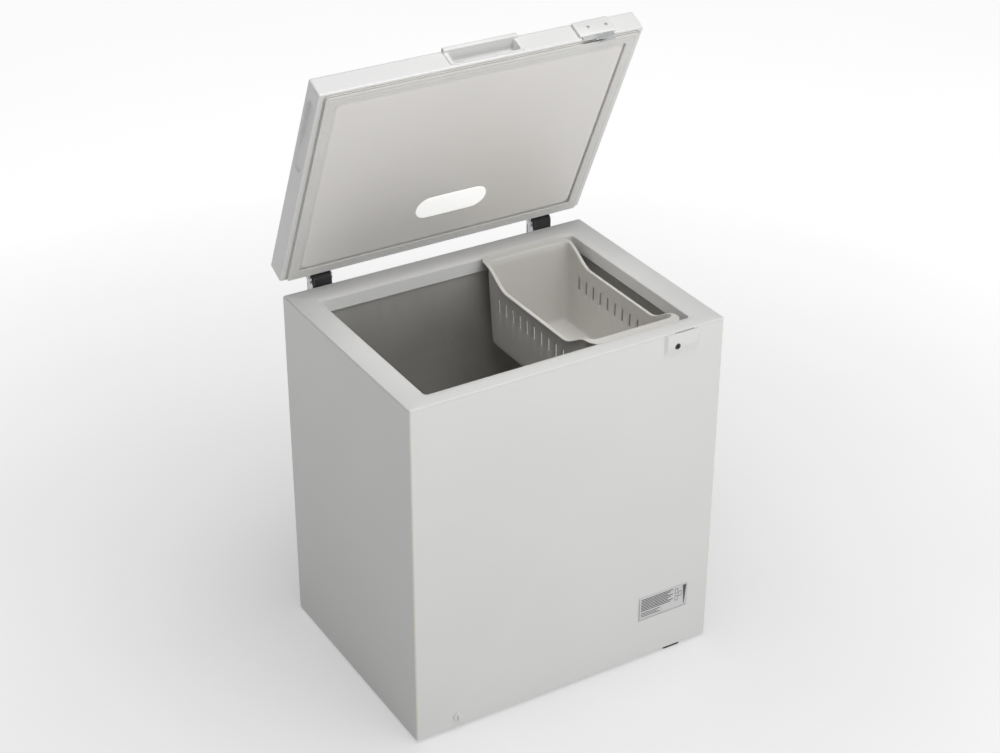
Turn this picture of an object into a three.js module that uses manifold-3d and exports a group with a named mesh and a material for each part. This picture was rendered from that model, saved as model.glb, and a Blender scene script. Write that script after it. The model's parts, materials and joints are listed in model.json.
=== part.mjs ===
// Chest freezer with a hinged lid, a hanging basket, a key lock and two drain plugs.
// Millimetres, +Z up, front towards -Y. The lid stands open, as the freezer is shown in a shop.

import * as THREE from 'three';
import { mergeVertices } from 'three/addons/utils/BufferGeometryUtils.js';
import Module from 'manifold-3d';

const wasm = await Module();
wasm.setup();

// ---- Driving dimensions ---------------------------------------------------------------

const clearance = 0.3; // between pieces that touch or are bonded
const runningFit = 0.05; // radial, a pin in its hole

const cabinetWidth = 727;
const cabinetDepth = 542;
const cabinetHeight = 790;
const footHeight = 8;
const sheet = 1; // steel of the shell, back and base

const rimThickness = 3;
const rimSide = 56.5; // outer edge to the tub opening
const rimFront = 42;
const rimBack = 58;
const rimSlopeWidth = 13;
const rimSlopeDrop = 3;
const rimSkirt = 33; // rim top to the skirt's lower edge
const rimSkirtThickness = 2.5;
const openingRadius = 8;

const linerSheet = 1.2;
const linerInset = 9; // rim top to the tub's upper edge
const floorLevel = 62; // ground to the tub's floor
const humpLevel = 300; // ground to the top of the step over the compressor
const wallInsulation = 50; // foam between the step and the compressor bay
const bayRoom = 24.2; // compressor to the side walls of its bay
const bayFrontFoam = 55;

const tubeRadius = 4; // cooling tube on the tub
const hotTubeRadius = 3; // warm tube on the shell
const coilTurns = 5;
const coilPitch = 78;
const coilTop = 60; // rim top to the first turn

const lidThickness = 47.4;
const lidOverhang = 1.5; // past the cabinet on each side
const lidSetback = 2; // lid in from the cabinet's front and back
const lidGap = 8; // lid edge above the rim when shut
const lidWall = 1.5;
const lidEdgeRadius = 4;
const lidFlangeSide = 13;
const lidFlangeFront = 6;
const lidFlangeBack = 4;
const gasketWidth = 24;
const gasketCrush = 0.4; // left between the seal and the rim when shut
const panelDrop = 4; // raised centre of the lid's inner panel
const panelSheet = 2;
const panelGroove = 3; // between the seal and the raised centre
const panelRadius = 16;
const openAngle = 65;
const lidFurtherOpen = 15;

const hingeBehind = 19.6; // pin behind the cabinet's back
const hingeAbove = 8.8; // pin above the rim
const hingeSpread = 269.5; // hinge centre from the middle
const hingeWidth = 46;
const hingeSheet = 2;
const hingeBelow = 88; // spring seat under the rim
const pinRadius = 3.5;
const blockRadius = 17;
const camRise = 4.5; // plunger travel between open and shut
const camRadius = 7; // pin centre to the plunger at rest
const camWidth = 10;
const springTurns = 7;
const springWire = 1.3;
const plungerRadius = 11.5;
const plungerCap = 6;

const handleWidth = 150;
const handleX = 4;
const handleLow = 9; // lid edge to the grip's floor
const handleHigh = 38;
const handleDepth = 22;
const handleWall = 2;
const handleLip = 8; // lip forward of the lid
const handleRim = 9.5; // face plate past the grip on each side

const recessLength = 185;
const recessHeight = 28;
const recessDepth = 5;
const recessFront = 38; // lid front to the recess
const recessLow = 9;

const lampWidth = 168;
const lampHeight = 62;
const lampX = 8;
const lampFromBack = 132;
const lampDepth = 20;

const latchLeft = 213;
const latchRight = 300;
const latchBulge = 6.5; // cover plate in front of the lid
const latchTongueLeft = 243;
const latchTongueRight = 285;
const latchReach = 21; // tongue below the lid edge
const latchSheet = 1.2;
const latchHeight = 43;
const latchPlateY = 2; // latch plate in front of the shell

const lockX = 246;
const lockBelowRim = 31;
const lockBulge = 6;
const lockPanelLeft = 217;
const lockPanelRight = 301;
const lockPanelHeight = 48;
const lockPanelTop = 2; // below the rim top
const lockWall = 1.4;
const barrelRadius = 6.5;
const barrelLength = 19;
const leverSheet = 1.4;
const leverHalf = 1.6; // half the width of the lever's arm
const leverShut = 108; // the lever arm's angle when locked, from +X
const fingerInner = 23.6; // the lever's finger is a ring segment round the barrel
const fingerOuter = 26.6;
const fingerSweep = 31; // how far the finger reaches ahead of the arm

const basketWidth = 218;
const basketLeft = 72;
const basketBelowRim = 0.5; // level ends of the basket under the rim's top
const basketHeight = 190;
const basketEnd = 19; // basket's end walls to the tub's opening, spanned by the end lips
const basketLip = 6.5; // lip resting on the rim's slope, past the tub's opening
const basketLipSheet = 1.5;
const basketWall = 2.4;
const basketScoop = 36; // how far the long sides dip
const basketEndFlat = 6; // level stretch at each end of a long side
const basketDipRun = 0.17; // share of the length over which a long side starts to dip
const basketSideLip = 8; // lip along each long side
const basketTaper = 0.06; // narrowing towards the floor
const slotPitch = 28.4;
const slotWidth = 5;
const slotHeight = 29;
const slotBelowTop = 68.5; // basket top to the slots' upper ends
const slotLast = 34; // least distance from the last slot to the front wall
const slotFirst = 52; // inside of the basket's back wall to the first slot

const drainX = -266;
const drainZ = 32; // ground to the middle of the outlet
const drainRadius = 8;
const drainWall = 1.5;
const drainFromFront = 120;
const plugRadius = 11;

const labelWidth = 128;
const labelHeight = 60;
const labelX = 246;
const labelZ = 134;
const labelThickness = 0.5;

const footWide = 42;
const footDeep = 40;
const footChamfer = 2;
const footX = 276;
const footFrontRight = 22; // foot centre in from the front
const footFrontLeft = 38;
const footBack = 40;

const compressorRadius = 62;
const compressorHeight = 165;
const grommetHeight = 14;

const round = 16; // sides of a small turned piece

// ---- Places worked out from them ------------------------------------------------------

const halfWidth = cabinetWidth / 2;
const halfDepth = cabinetDepth / 2;
const bottom = footHeight;
const top = bottom + cabinetHeight;

const open = {
  x: halfWidth - rimSide,
  front: -halfDepth + rimFront,
  back: halfDepth - rimBack,
};
const linerGap = rimSkirtThickness + clearance;
const tub = {
  x: open.x + linerGap,
  front: open.front - linerGap,
  back: open.back + linerGap,
  top: top - linerInset,
};
const bayRight = halfWidth - sheet - clearance;
const bay = {
  left: bayRight - 2 * (compressorRadius + bayRoom),
  right: bayRight,
  front: -halfDepth + bayFrontFoam,
  back: halfDepth - sheet - clearance,
  top: humpLevel - wallInsulation - linerSheet,
  bottom: bottom + clearance,
};
const humpLeft = bay.left - wallInsulation;
const lidLow = top + lidGap;
const lidHalf = halfWidth + lidOverhang;
const lidBack = halfDepth - lidSetback;
const lidFront = -halfDepth + lidSetback;
const lidHigh = lidLow + lidThickness;
const pin = { y: halfDepth + hingeBehind, z: top + hingeAbove };

// ---- Shape helpers --------------------------------------------------------------------

function toSolid(geometry) {
  const bare = geometry.clone();
  bare.deleteAttribute('normal');
  bare.deleteAttribute('uv');
  const merged = mergeVertices(bare, 1e-4);
  return new wasm.Manifold(new wasm.Mesh({
    numProp: 3,
    vertProperties: new Float32Array(merged.attributes.position.array),
    triVerts: new Uint32Array(merged.index.array),
  }));
}

function toGeometry(solid) {
  const mesh = solid.getMesh();
  const geometry = new THREE.BufferGeometry();
  geometry.setAttribute('position', new THREE.BufferAttribute(mesh.vertProperties, 3));
  geometry.setIndex(new THREE.BufferAttribute(mesh.triVerts, 1));
  geometry.computeVertexNormals();
  return geometry;
}

function box(x0, x1, y0, y1, z0, z1) {
  const geometry = new THREE.BoxGeometry(x1 - x0, y1 - y0, z1 - z0);
  geometry.translate((x0 + x1) / 2, (y0 + y1) / 2, (z0 + z1) / 2);
  return toSolid(geometry);
}

// A block whose upper face is larger than its lower one by the same amount on every side.
function flaredBox(x0, x1, y0, y1, z0, z1, flare) {
  const geometry = new THREE.BoxGeometry(x1 - x0, y1 - y0, z1 - z0);
  const place = geometry.attributes.position;
  for (let i = 0; i < place.count; i += 1) {
    if (place.getZ(i) > 0) {
      place.setX(i, place.getX(i) + Math.sign(place.getX(i)) * flare);
      place.setY(i, place.getY(i) + Math.sign(place.getY(i)) * flare);
    }
  }
  geometry.translate((x0 + x1) / 2, (y0 + y1) / 2, (z0 + z1) / 2);
  return toSolid(geometry);
}

function roundedOutline(x0, x1, y0, y1, radius) {
  const outline = new THREE.Shape();
  outline.moveTo(x0 + radius, y0);
  outline.lineTo(x1 - radius, y0);
  outline.absarc(x1 - radius, y0 + radius, radius, -Math.PI / 2, 0, false);
  outline.lineTo(x1, y1 - radius);
  outline.absarc(x1 - radius, y1 - radius, radius, 0, Math.PI / 2, false);
  outline.lineTo(x0 + radius, y1);
  outline.absarc(x0 + radius, y1 - radius, radius, Math.PI / 2, Math.PI, false);
  outline.lineTo(x0, y0 + radius);
  outline.absarc(x0 + radius, y0 + radius, radius, Math.PI, Math.PI * 1.5, false);
  return outline;
}

// Extrudes an outline upwards from z0 to z1.
function upright(outline, z0, z1, curveSegments = 2) {
  const geometry = new THREE.ExtrudeGeometry(outline, {
    depth: z1 - z0, bevelEnabled: false, curveSegments,
  });
  geometry.translate(0, 0, z0);
  return toSolid(geometry);
}

function roundedBlock(x0, x1, y0, y1, z0, z1, radius) {
  return upright(roundedOutline(x0, x1, y0, y1, radius), z0, z1);
}

// Extrudes an outline drawn in (Y, Z) along X, from x0 to x1.
function sideways(outline, x0, x1, curveSegments = 4) {
  const geometry = new THREE.ExtrudeGeometry(outline, {
    depth: x1 - x0, bevelEnabled: false, curveSegments,
  });
  geometry.applyMatrix4(new THREE.Matrix4().set(
    0, 0, 1, x0,
    1, 0, 0, 0,
    0, 1, 0, 0,
    0, 0, 0, 1,
  ));
  return toSolid(geometry);
}

// Extrudes an outline drawn in (X, Z) along Y, from y0 to y1.
function endways(outline, y0, y1, curveSegments = 4) {
  const geometry = new THREE.ExtrudeGeometry(outline, {
    depth: y1 - y0, bevelEnabled: false, curveSegments,
  });
  geometry.applyMatrix4(new THREE.Matrix4().set(
    1, 0, 0, 0,
    0, 0, -1, y1,
    0, 1, 0, 0,
    0, 0, 0, 1,
  ));
  return toSolid(geometry);
}

function cylinder(axis, radius, from, to, a, b, sides = round) {
  const geometry = new THREE.CylinderGeometry(radius, radius, to - from, sides);
  const middle = (from + to) / 2;
  if (axis === 'x') {
    geometry.rotateZ(Math.PI / 2);
    geometry.translate(middle, a, b);
  } else if (axis === 'y') {
    geometry.translate(a, middle, b);
  } else {
    geometry.rotateX(Math.PI / 2);
    geometry.translate(a, b, middle);
  }
  return toSolid(geometry);
}

// A turned piece about a vertical axis, from (radius, height) points.
function turned(points, x, y, z, sides = round) {
  const profile = points.map(([r, h]) => new THREE.Vector2(r, h));
  const geometry = new THREE.LatheGeometry(profile, sides);
  geometry.rotateX(Math.PI / 2);
  geometry.translate(x, y, z);
  return toSolid(geometry);
}

function polygon(points) {
  return new THREE.Shape(points.map(([a, b]) => new THREE.Vector2(a, b)));
}

// A pipe's centre line: straight runs joined by round bends.
class PipeRoute extends THREE.Curve {
  constructor(corners, bend, steps = 2) {
    super();
    this.points = [corners[0]];
    for (let i = 1; i < corners.length - 1; i += 1) {
      const before = corners[i - 1].clone().sub(corners[i]);
      const after = corners[i + 1].clone().sub(corners[i]);
      const reach = Math.min(bend, before.length() * 0.45, after.length() * 0.45);
      const entry = corners[i].clone().add(before.setLength(reach));
      const exit = corners[i].clone().add(after.setLength(reach));
      for (let s = 0; s <= steps; s += 1) {
        const t = s / steps;
        const first = entry.clone().lerp(corners[i], t);
        const second = corners[i].clone().lerp(exit, t);
        this.points.push(first.lerp(second, t));
      }
    }
    this.points.push(corners[corners.length - 1]);
    this.steps = this.points.length - 1;
  }

  getPoint(t) {
    const place = t * this.steps;
    const start = Math.min(Math.floor(place), this.steps - 1);
    return this.points[start].clone().lerp(this.points[start + 1], place - start);
  }

  getPointAt(u) {
    return this.getPoint(u);
  }

  getSpacedPoints(divisions) {
    return Array.from({ length: divisions + 1 }, (_, i) => this.getPoint(i / divisions));
  }

  getTangentAt(u) {
    const step = 1 / this.steps;
    const before = this.getPoint(Math.max(u - step, 0));
    return this.getPoint(Math.min(u + step, 1)).sub(before).normalize();
  }
}

function pipe(corners, radius, bend, sides = 6) {
  const route = new PipeRoute(corners.map(([x, y, z]) => new THREE.Vector3(x, y, z)), bend);
  const section = new THREE.Shape();
  section.absarc(0, 0, radius, 0, Math.PI * 2, false);
  return new THREE.ExtrudeGeometry(section, {
    steps: route.steps, curveSegments: sides / 2, extrudePath: route,
  });
}

function cut(solid, ...others) {
  return others.reduce((left, other) => left.subtract(other), solid);
}

function join(solid, ...others) {
  return others.reduce((left, other) => left.add(other), solid);
}

const finishes = {
  paint: { color: 0xeeeeec, roughness: 0.42, metalness: 0 },
  plastic: { color: 0xe9e9e6, roughness: 0.5, metalness: 0 },
  panel: { color: 0xdcdad5, roughness: 0.55, metalness: 0 },
  seal: { color: 0xbfbfba, roughness: 0.8, metalness: 0 },
  aluminium: { color: 0xb4b3b0, roughness: 0.45, metalness: 1 },
  foam: { color: 0xe3cf8e, roughness: 0.95, metalness: 0 },
  steel: { color: 0x9a9b9c, roughness: 0.4, metalness: 1 },
  chrome: { color: 0xd9dadc, roughness: 0.12, metalness: 1 },
  black: { color: 0x1b1b1c, roughness: 0.6, metalness: 0 },
  darkPaint: { color: 0x232425, roughness: 0.45, metalness: 0.2 },
  rubber: { color: 0x1e1e1e, roughness: 0.9, metalness: 0 },
  copper: { color: 0xb5704a, roughness: 0.35, metalness: 1 },
  lens: { color: 0xffffff, roughness: 0.3, metalness: 0 },
  board: { color: 0x2f6b3c, roughness: 0.6, metalness: 0 },
  label: { color: 0xc9cac8, roughness: 0.5, metalness: 0 },
};

function piece(name, shape, finish) {
  const geometry = shape.isBufferGeometry ? shape : toGeometry(shape);
  const mesh = new THREE.Mesh(geometry, new THREE.MeshStandardMaterial(finishes[finish]));
  mesh.name = name;
  return mesh;
}

const cabinet = new THREE.Group();
const lid = new THREE.Group();

// ---- Cabinet shell: one folded sheet for the left side, the front and the right side --

const shellTop = top - rimThickness - clearance;
const lock = { x: lockX, z: top - lockBelowRim };
{
  const backEdge = halfDepth - sheet - clearance;
  const wrap = polygon([
    [-halfWidth, backEdge], [-halfWidth, -halfDepth], [halfWidth, -halfDepth],
    [halfWidth, backEdge], [halfWidth - sheet, backEdge],
    [halfWidth - sheet, -halfDepth + sheet], [-halfWidth + sheet, -halfDepth + sheet],
    [-halfWidth + sheet, backEdge],
  ]);
  const shell = cut(
    upright(wrap, bottom, shellTop),
    cylinder('y', barrelRadius + clearance, -halfDepth - 1, -halfDepth + sheet + 1, lock.x, lock.z),
    cylinder('y', drainRadius + clearance, -halfDepth - 1, -halfDepth + sheet + 1, drainX, drainZ),
  );
  cabinet.add(piece('outer_shell', shell, 'paint'));
}

// ---- Back panel, with the service opening of the compressor bay -----------------------

const service = {
  left: bay.left + 8, right: bay.right - 8, low: bay.bottom + 12, high: bay.top - 10,
};
{
  const panel = cut(
    box(-halfWidth, halfWidth, halfDepth - sheet, halfDepth, bottom, shellTop),
    box(service.left, service.right, halfDepth - 5, halfDepth + 5, service.low, service.high),
  );
  cabinet.add(piece('back_panel', panel, 'steel'));
}

// ---- Base pan under the foam and tray under the compressor ----------------------------

const inside = { x: halfWidth - sheet - clearance, y: halfDepth - sheet - clearance };
const panTop = bottom + clearance + sheet;
cabinet.add(piece('base_pan', box(
  -inside.x, bay.left - clearance, -inside.y, inside.y, bottom + clearance, panTop,
), 'steel'));
{
  const vent = roundedBlock(bay.left + 30, bay.right - 30, bay.front + 15, bay.front + 105,
    bottom - 5, bottom + 10, 12);
  const tray = cut(
    box(bay.left, inside.x, -inside.y, inside.y, bottom + clearance, panTop + sheet),
    vent,
  );
  cabinet.add(piece('compressor_tray', tray, 'steel'));
}
const trayTop = panTop + sheet;

// ---- Sheet wall between the compressor bay and the foam -------------------------------

{
  const low = trayTop + clearance;
  const wall = cut(
    box(bay.left, bay.right, bay.front, bay.back, low, bay.top),
    box(bay.left + sheet, bay.right + 5, bay.front + sheet, bay.back + 5, low - 5, bay.top - sheet),
  );
  cabinet.add(piece('bay_wall', wall, 'steel'));
}

// ---- Inner tub, pressed aluminium, with the step over the compressor bay --------------

const tubRadius = openingRadius + linerGap;
const drainY = tub.front + drainFromFront;
{
  const t = linerSheet;
  const outside = cut(
    roundedBlock(-tub.x - t, tub.x + t, tub.front - t, tub.back + t, floorLevel - t, tub.top,
      tubRadius + t),
    box(humpLeft + t, halfWidth, -halfDepth, halfDepth, floorLevel - 5, humpLevel - t),
  );
  const hollow = cut(
    roundedBlock(-tub.x, tub.x, tub.front, tub.back, floorLevel, tub.top + 5, tubRadius),
    box(humpLeft, halfWidth, -halfDepth, halfDepth, floorLevel - 5, humpLevel),
  );
  const drainHole = cylinder('z', drainRadius, floorLevel - 5, floorLevel + 5, drainX, drainY);
  cabinet.add(piece('inner_liner', cut(outside, hollow, drainHole), 'aluminium'));
}

// ---- Cooling tube round the tub and warm tube inside the shell ------------------------

// Turns of the cooling tube lie flat round the tub; each rises to the next at the back.
const coil = {
  x: tub.x + linerSheet + clearance * 2 + tubeRadius,
  front: tub.front - linerSheet - clearance * 2 - tubeRadius,
  back: tub.back + linerSheet + clearance * 2 + tubeRadius,
  levels: Array.from({ length: coilTurns }, (_, i) => top - coilTop - i * coilPitch),
};
const coilStepX = 60;
const riserX = bay.left + 25;
{
  const corners = [];
  coil.levels.forEach((z) => {
    corners.push([-coilStepX, coil.back, z], [-coil.x, coil.back, z], [-coil.x, coil.front, z]);
    corners.push([coil.x, coil.front, z], [coil.x, coil.back, z], [coilStepX, coil.back, z]);
  });
  cabinet.add(piece('evaporator_coil', pipe(corners, tubeRadius, tubRadius + 3), 'copper'));
}

const hotBend = 16;
const hot = {
  x: inside.x - clearance - hotTubeRadius,
  front: -inside.y + clearance + hotTubeRadius,
  back: inside.y - 22,
  levels: Array.from({ length: coilTurns - 1 }, (_, i) => top - coilTop - 40 - i * coilPitch),
};
{
  const corners = [];
  hot.levels.forEach((z, i) => {
    const row = [[-hot.x, hot.back, z], [-hot.x, hot.front, z], [hot.x, hot.front, z],
      [hot.x, hot.back, z]];
    corners.push(...(i % 2 === 0 ? row : row.reverse()));
  });
  cabinet.add(piece('condenser_coil', pipe(corners, hotTubeRadius, hotBend), 'copper'));
}

// ---- Foam between the shell and the tub -----------------------------------------------

const drain = { x: drainX, y: drainY, radius: drainRadius + drainWall, z: drainZ };
const lockPocket = 12;
{
  const t = linerSheet + clearance;
  const gap = clearance;
  const tubSpace = cut(
    roundedBlock(-tub.x - t, tub.x + t, tub.front - t, tub.back + t, floorLevel - t, top + 5,
      tubRadius + t),
    box(humpLeft + t, halfWidth, -halfDepth, halfDepth, floorLevel - 50, humpLevel - t),
  );
  const baySpace = box(bay.left - gap, halfWidth, bay.front - gap, halfDepth, 0, bay.top + gap);
  const grooveHalf = tubeRadius + gap;
  const coldGrooves = coil.levels.map((z) => cut(
    roundedBlock(-coil.x - grooveHalf, coil.x + grooveHalf, coil.front - grooveHalf,
      coil.back + grooveHalf, z - grooveHalf, z + grooveHalf, tubRadius),
    roundedBlock(-tub.x, tub.x, tub.front, tub.back, z - 20, z + 20, tubRadius),
  ));
  const step = coil.levels.slice(1).map((z) => box(
    -coilStepX - 30, coilStepX + 30, tub.back, coil.back + grooveHalf, z - grooveHalf,
    z + coilPitch + grooveHalf,
  ));
  const hotHalf = hotTubeRadius + gap;
  const hotGrooves = hot.levels.flatMap((z) => [
    box(-halfWidth, -hot.x + hotHalf, -halfDepth, hot.back + 10, z - hotHalf, z + hotHalf),
    box(hot.x - hotHalf, halfWidth, -halfDepth, hot.back + 10, z - hotHalf, z + hotHalf),
    box(-halfWidth, halfWidth, -halfDepth, hot.front + hotHalf, z - hotHalf, z + hotHalf),
    box(-halfWidth, -hot.x + hotBend, -halfDepth, hot.front + hotBend, z - hotHalf, z + hotHalf),
    box(hot.x - hotBend, halfWidth, -halfDepth, hot.front + hotBend, z - hotHalf, z + hotHalf),
  ]);
  const hotSteps = hot.levels.slice(1).map((z, i) => {
    const side = i % 2 === 0 ? 1 : -1;
    const near = side * (hot.x - hotHalf);
    const far = side * halfWidth;
    return box(Math.min(near, far), Math.max(near, far), hot.back - hotBend, hot.back + hotHalf,
      z - hotHalf, z + coilPitch + hotHalf);
  });
  const drainSpace = join(
    cylinder('z', drain.radius + gap, drainZ, floorLevel, drainX, drainY),
    cylinder('y', drain.radius + gap, -halfDepth, drainY + drain.radius + gap, drainX, drainZ),
  );
  const lockSpace = box(lock.x - lockPocket, lock.x + lockPocket, -halfDepth,
    -halfDepth + barrelLength, lock.z - lockPocket, lock.z + lockPocket);
  const skirtSpace = box(-tub.x - t, tub.x + t, tub.front - t, tub.back + t, tub.top - 1, top);
  const riserSpace = box(riserX - 20, riserX + 36, coil.back - grooveHalf, coil.back + grooveHalf,
    bay.top - 5, coil.levels[coilTurns - 1]);
  const foam = cut(
    box(-inside.x, inside.x, -inside.y, inside.y, trayTop + clearance, shellTop - 1),
    tubSpace, baySpace, ...coldGrooves, ...step, ...hotGrooves, ...hotSteps, drainSpace,
    lockSpace, skirtSpace, riserSpace,
  );
  cabinet.add(piece('cabinet_foam', foam, 'foam'));
}

// ---- Rim frame round the tub's opening ------------------------------------------------

{
  const skirt = rimSkirtThickness;
  const flange = box(-halfWidth, halfWidth, -halfDepth, halfDepth, top - rimThickness, top);
  const collar = roundedBlock(-open.x - skirt, open.x + skirt, open.front - skirt,
    open.back + skirt, top - rimSkirt, top - rimThickness + 1, openingRadius + skirt);
  const hole = roundedBlock(-open.x, open.x, open.front, open.back, top - rimSkirt - 5, top + 5,
    openingRadius);
  const slope = flaredBox(-open.x, open.x, open.front, open.back, top - rimSlopeDrop + 0.5,
    top + 0.5, rimSlopeWidth);
  cabinet.add(piece('rim_frame', cut(join(flange, collar), hole, slope), 'plastic'));
}

// ---- Lock: raised panel on the front, key barrel and hooked lever ---------------------

const slotHalf = 1.6;
const tongueY = -halfDepth - latchPlateY;
{
  const high = top - lockPanelTop;
  const low = high - lockPanelHeight;
  const back = -halfDepth - clearance;
  const face = -halfDepth - lockBulge;
  const wedge = sideways(polygon([
    [back, low], [back, high], [face, high], [face, low + 10], [back - 1.2, low],
  ]), lockPanelLeft, lockPanelRight);
  const hollow = sideways(polygon([
    [back + 1, low + 4], [back + 1, high - lockWall], [face + lockWall, high - lockWall],
    [face + lockWall, low + 12], [back - 0.6, low + 4],
  ]), lockPanelLeft + lockWall, lockPanelRight - lockWall);
  const slit = box(latchTongueLeft - 2, latchTongueRight + 2, tongueY - slotHalf,
    tongueY + slotHalf, high - 5, high + 5);
  const keyway = cylinder('y', barrelRadius + clearance, face - 5, back + 5, lock.x, lock.z);
  cabinet.add(piece('lock_panel', cut(wedge, hollow, slit, keyway), 'plastic'));

  const barrel = cut(
    cylinder('y', barrelRadius, face - 0.6, face - 0.6 + barrelLength, lock.x, lock.z),
    box(lock.x - 0.9, lock.x + 0.9, face - 5, face + 6, lock.z - 3.4, lock.z + 3.4),
  );
  cabinet.add(piece('lock_barrel', barrel, 'black'));

  const { degToRad } = THREE.MathUtils;
  const rest = degToRad(leverShut + 90);
  const ahead = rest - degToRad(fingerSweep);
  const behind = rest + leverHalf / fingerInner;
  const finger = new THREE.Shape();
  finger.absarc(lock.x, lock.z, fingerOuter, ahead, behind, false);
  finger.absarc(lock.x, lock.z, fingerInner, behind, ahead, true);
  const out = [Math.cos(rest), Math.sin(rest)];
  const armPoint = (along, across) => [
    lock.x + out[0] * along - out[1] * across, lock.z + out[1] * along + out[0] * across,
  ];
  const arm = polygon([
    armPoint(0, leverHalf * 2), armPoint(0, -leverHalf * 2),
    armPoint(fingerInner + 1, -leverHalf), armPoint(fingerInner + 1, leverHalf),
  ].reverse());
  const leverBack = tongueY + leverSheet / 2;
  const lever = cut(
    join(
      endways(arm, tongueY - leverSheet / 2, leverBack),
      endways(finger, tongueY - leverSheet / 2, leverBack),
      cylinder('y', barrelRadius + 2.5, tongueY - leverSheet / 2, leverBack, lock.x, lock.z),
    ),
    cylinder('y', barrelRadius + clearance, -halfDepth - 20, -halfDepth + 20, lock.x, lock.z),
  );
  cabinet.add(piece('lock_lever', lever, 'steel'));
}

// ---- Data label on the front ----------------------------------------------------------

cabinet.add(piece('data_label', box(
  labelX - labelWidth / 2, labelX + labelWidth / 2,
  -halfDepth - clearance - labelThickness, -halfDepth - clearance,
  labelZ - labelHeight / 2, labelZ + labelHeight / 2,
), 'label'));

// ---- Feet -----------------------------------------------------------------------------

const feet = {
  foot_front_left: [-footX, -halfDepth + footFrontLeft],
  foot_front_right: [footX, -halfDepth + footFrontRight],
  foot_back_left: [-footX, halfDepth - footBack],
  foot_back_right: [footX, halfDepth - footBack],
};
Object.entries(feet).forEach(([name, [x, y]]) => {
  const [wide, deep] = [footWide / 2, footDeep / 2];
  const sole = roundedBlock(x - wide + footChamfer, x + wide - footChamfer,
    y - deep + footChamfer, y + deep - footChamfer, 0, footHeight, 3);
  const pad = roundedBlock(x - wide, x + wide, y - deep, y + deep, footChamfer, footHeight, 3);
  cabinet.add(piece(name, join(sole, pad), 'rubber'));
});

// ---- Drain: elbow under the floor, plug in the tub, plug on the front -----------------

{
  const wall = drainWall;
  const outletY = -halfDepth + sheet + clearance;
  const elbow = cut(
    join(
      cylinder('z', drain.radius, drainZ - 1, floorLevel - linerSheet - clearance, drainX, drainY),
      cylinder('y', drain.radius, outletY, drainY + drain.radius, drainX, drainZ),
    ),
    cylinder('z', drainRadius, drainZ - 1, floorLevel + 5, drainX, drainY),
    cylinder('y', drainRadius, outletY - 5, drainY + drain.radius - wall, drainX, drainZ),
  );
  cabinet.add(piece('drain_elbow', elbow, 'plastic'));

  const stem = drainRadius - clearance;
  const stemDeep = 8;
  const rimHigh = 3;
  const knobRadius = 4;
  const knobHigh = 10;
  const innerPlug = turned([
    [0, -stemDeep], [stem - 0.8, -stemDeep], [stem, 2 - stemDeep], [stem, clearance],
    [plugRadius + 2, clearance], [plugRadius + 1, rimHigh], [knobRadius, rimHigh],
    [knobRadius, knobHigh - 1], [knobRadius - 1, knobHigh], [0, knobHigh],
  ], drainX, drainY, floorLevel);
  cabinet.add(piece('inner_drain_plug', innerPlug, 'plastic'));

  const outer = join(
    cylinder('y', plugRadius, -halfDepth - rimHigh, -halfDepth - clearance, drainX, drainZ),
    cylinder('y', stem, -halfDepth - clearance - 1, -halfDepth + stemDeep + 2, drainX, drainZ),
    box(drainX - 2, drainX + 2, -halfDepth - 2 * rimHigh, -halfDepth - 2, drainZ - stemDeep,
      drainZ + stemDeep),
  );
  cabinet.add(piece('outer_drain_plug', outer, 'plastic'));
}

// ---- Compressor on its rubber mounts --------------------------------------------------

const engine = {
  x: (bay.left + bay.right) / 2,
  y: halfDepth - 150,
  z: trayTop + clearance + grommetHeight + clearance,
};
{
  const r = compressorRadius;
  const h = compressorHeight;
  const base = 4;
  const seam = h * 0.5; // the weld where the two halves of the can meet
  const seamOut = 3;
  const footOut = 8;
  const can = turned([
    [0, base - 1], [r - 22, base - 1], [r - 6, base + 12], [r, base + 30], [r, seam],
    [r + seamOut, seam + 1], [r + seamOut, seam + 5], [r, seam + 6], [r, h - 32], [r - 7, h - 12],
    [r - 24, h - 1], [0, h],
  ], engine.x, engine.y, engine.z);
  const foot = roundedBlock(engine.x - r - footOut, engine.x + r + footOut,
    engine.y - r - footOut, engine.y + r + footOut, engine.z, engine.z + base, 2 * footOut);
  cabinet.add(piece('compressor', join(can, foot), 'darkPaint'));
}
['front_left', 'front_right', 'back_left', 'back_right'].forEach((corner, i) => {
  const x = engine.x + (i % 2 === 0 ? -1 : 1) * (compressorRadius - 6);
  const y = engine.y + (i < 2 ? -1 : 1) * (compressorRadius - 6);
  const profile = [
    [0, 0], [11, 0], [12, 3], [9, 6], [9, 8], [12, 11], [11, grommetHeight], [0, grommetHeight],
  ];
  cabinet.add(piece(`grommet_${corner}`, turned(profile, x, y, trayTop + clearance, 16), 'rubber'));
});
{
  const x = engine.x;
  const y = engine.y + compressorRadius + 3 + clearance;
  const relay = { half: 24, deep: 30, low: 70, high: 114, corner: 5 };
  cabinet.add(piece('start_relay', roundedBlock(x - relay.half, x + relay.half, y,
    y + relay.deep, engine.z + relay.low, engine.z + relay.high, relay.corner), 'black'));
}

// ---- Drier and connecting tubes -------------------------------------------------------

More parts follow.
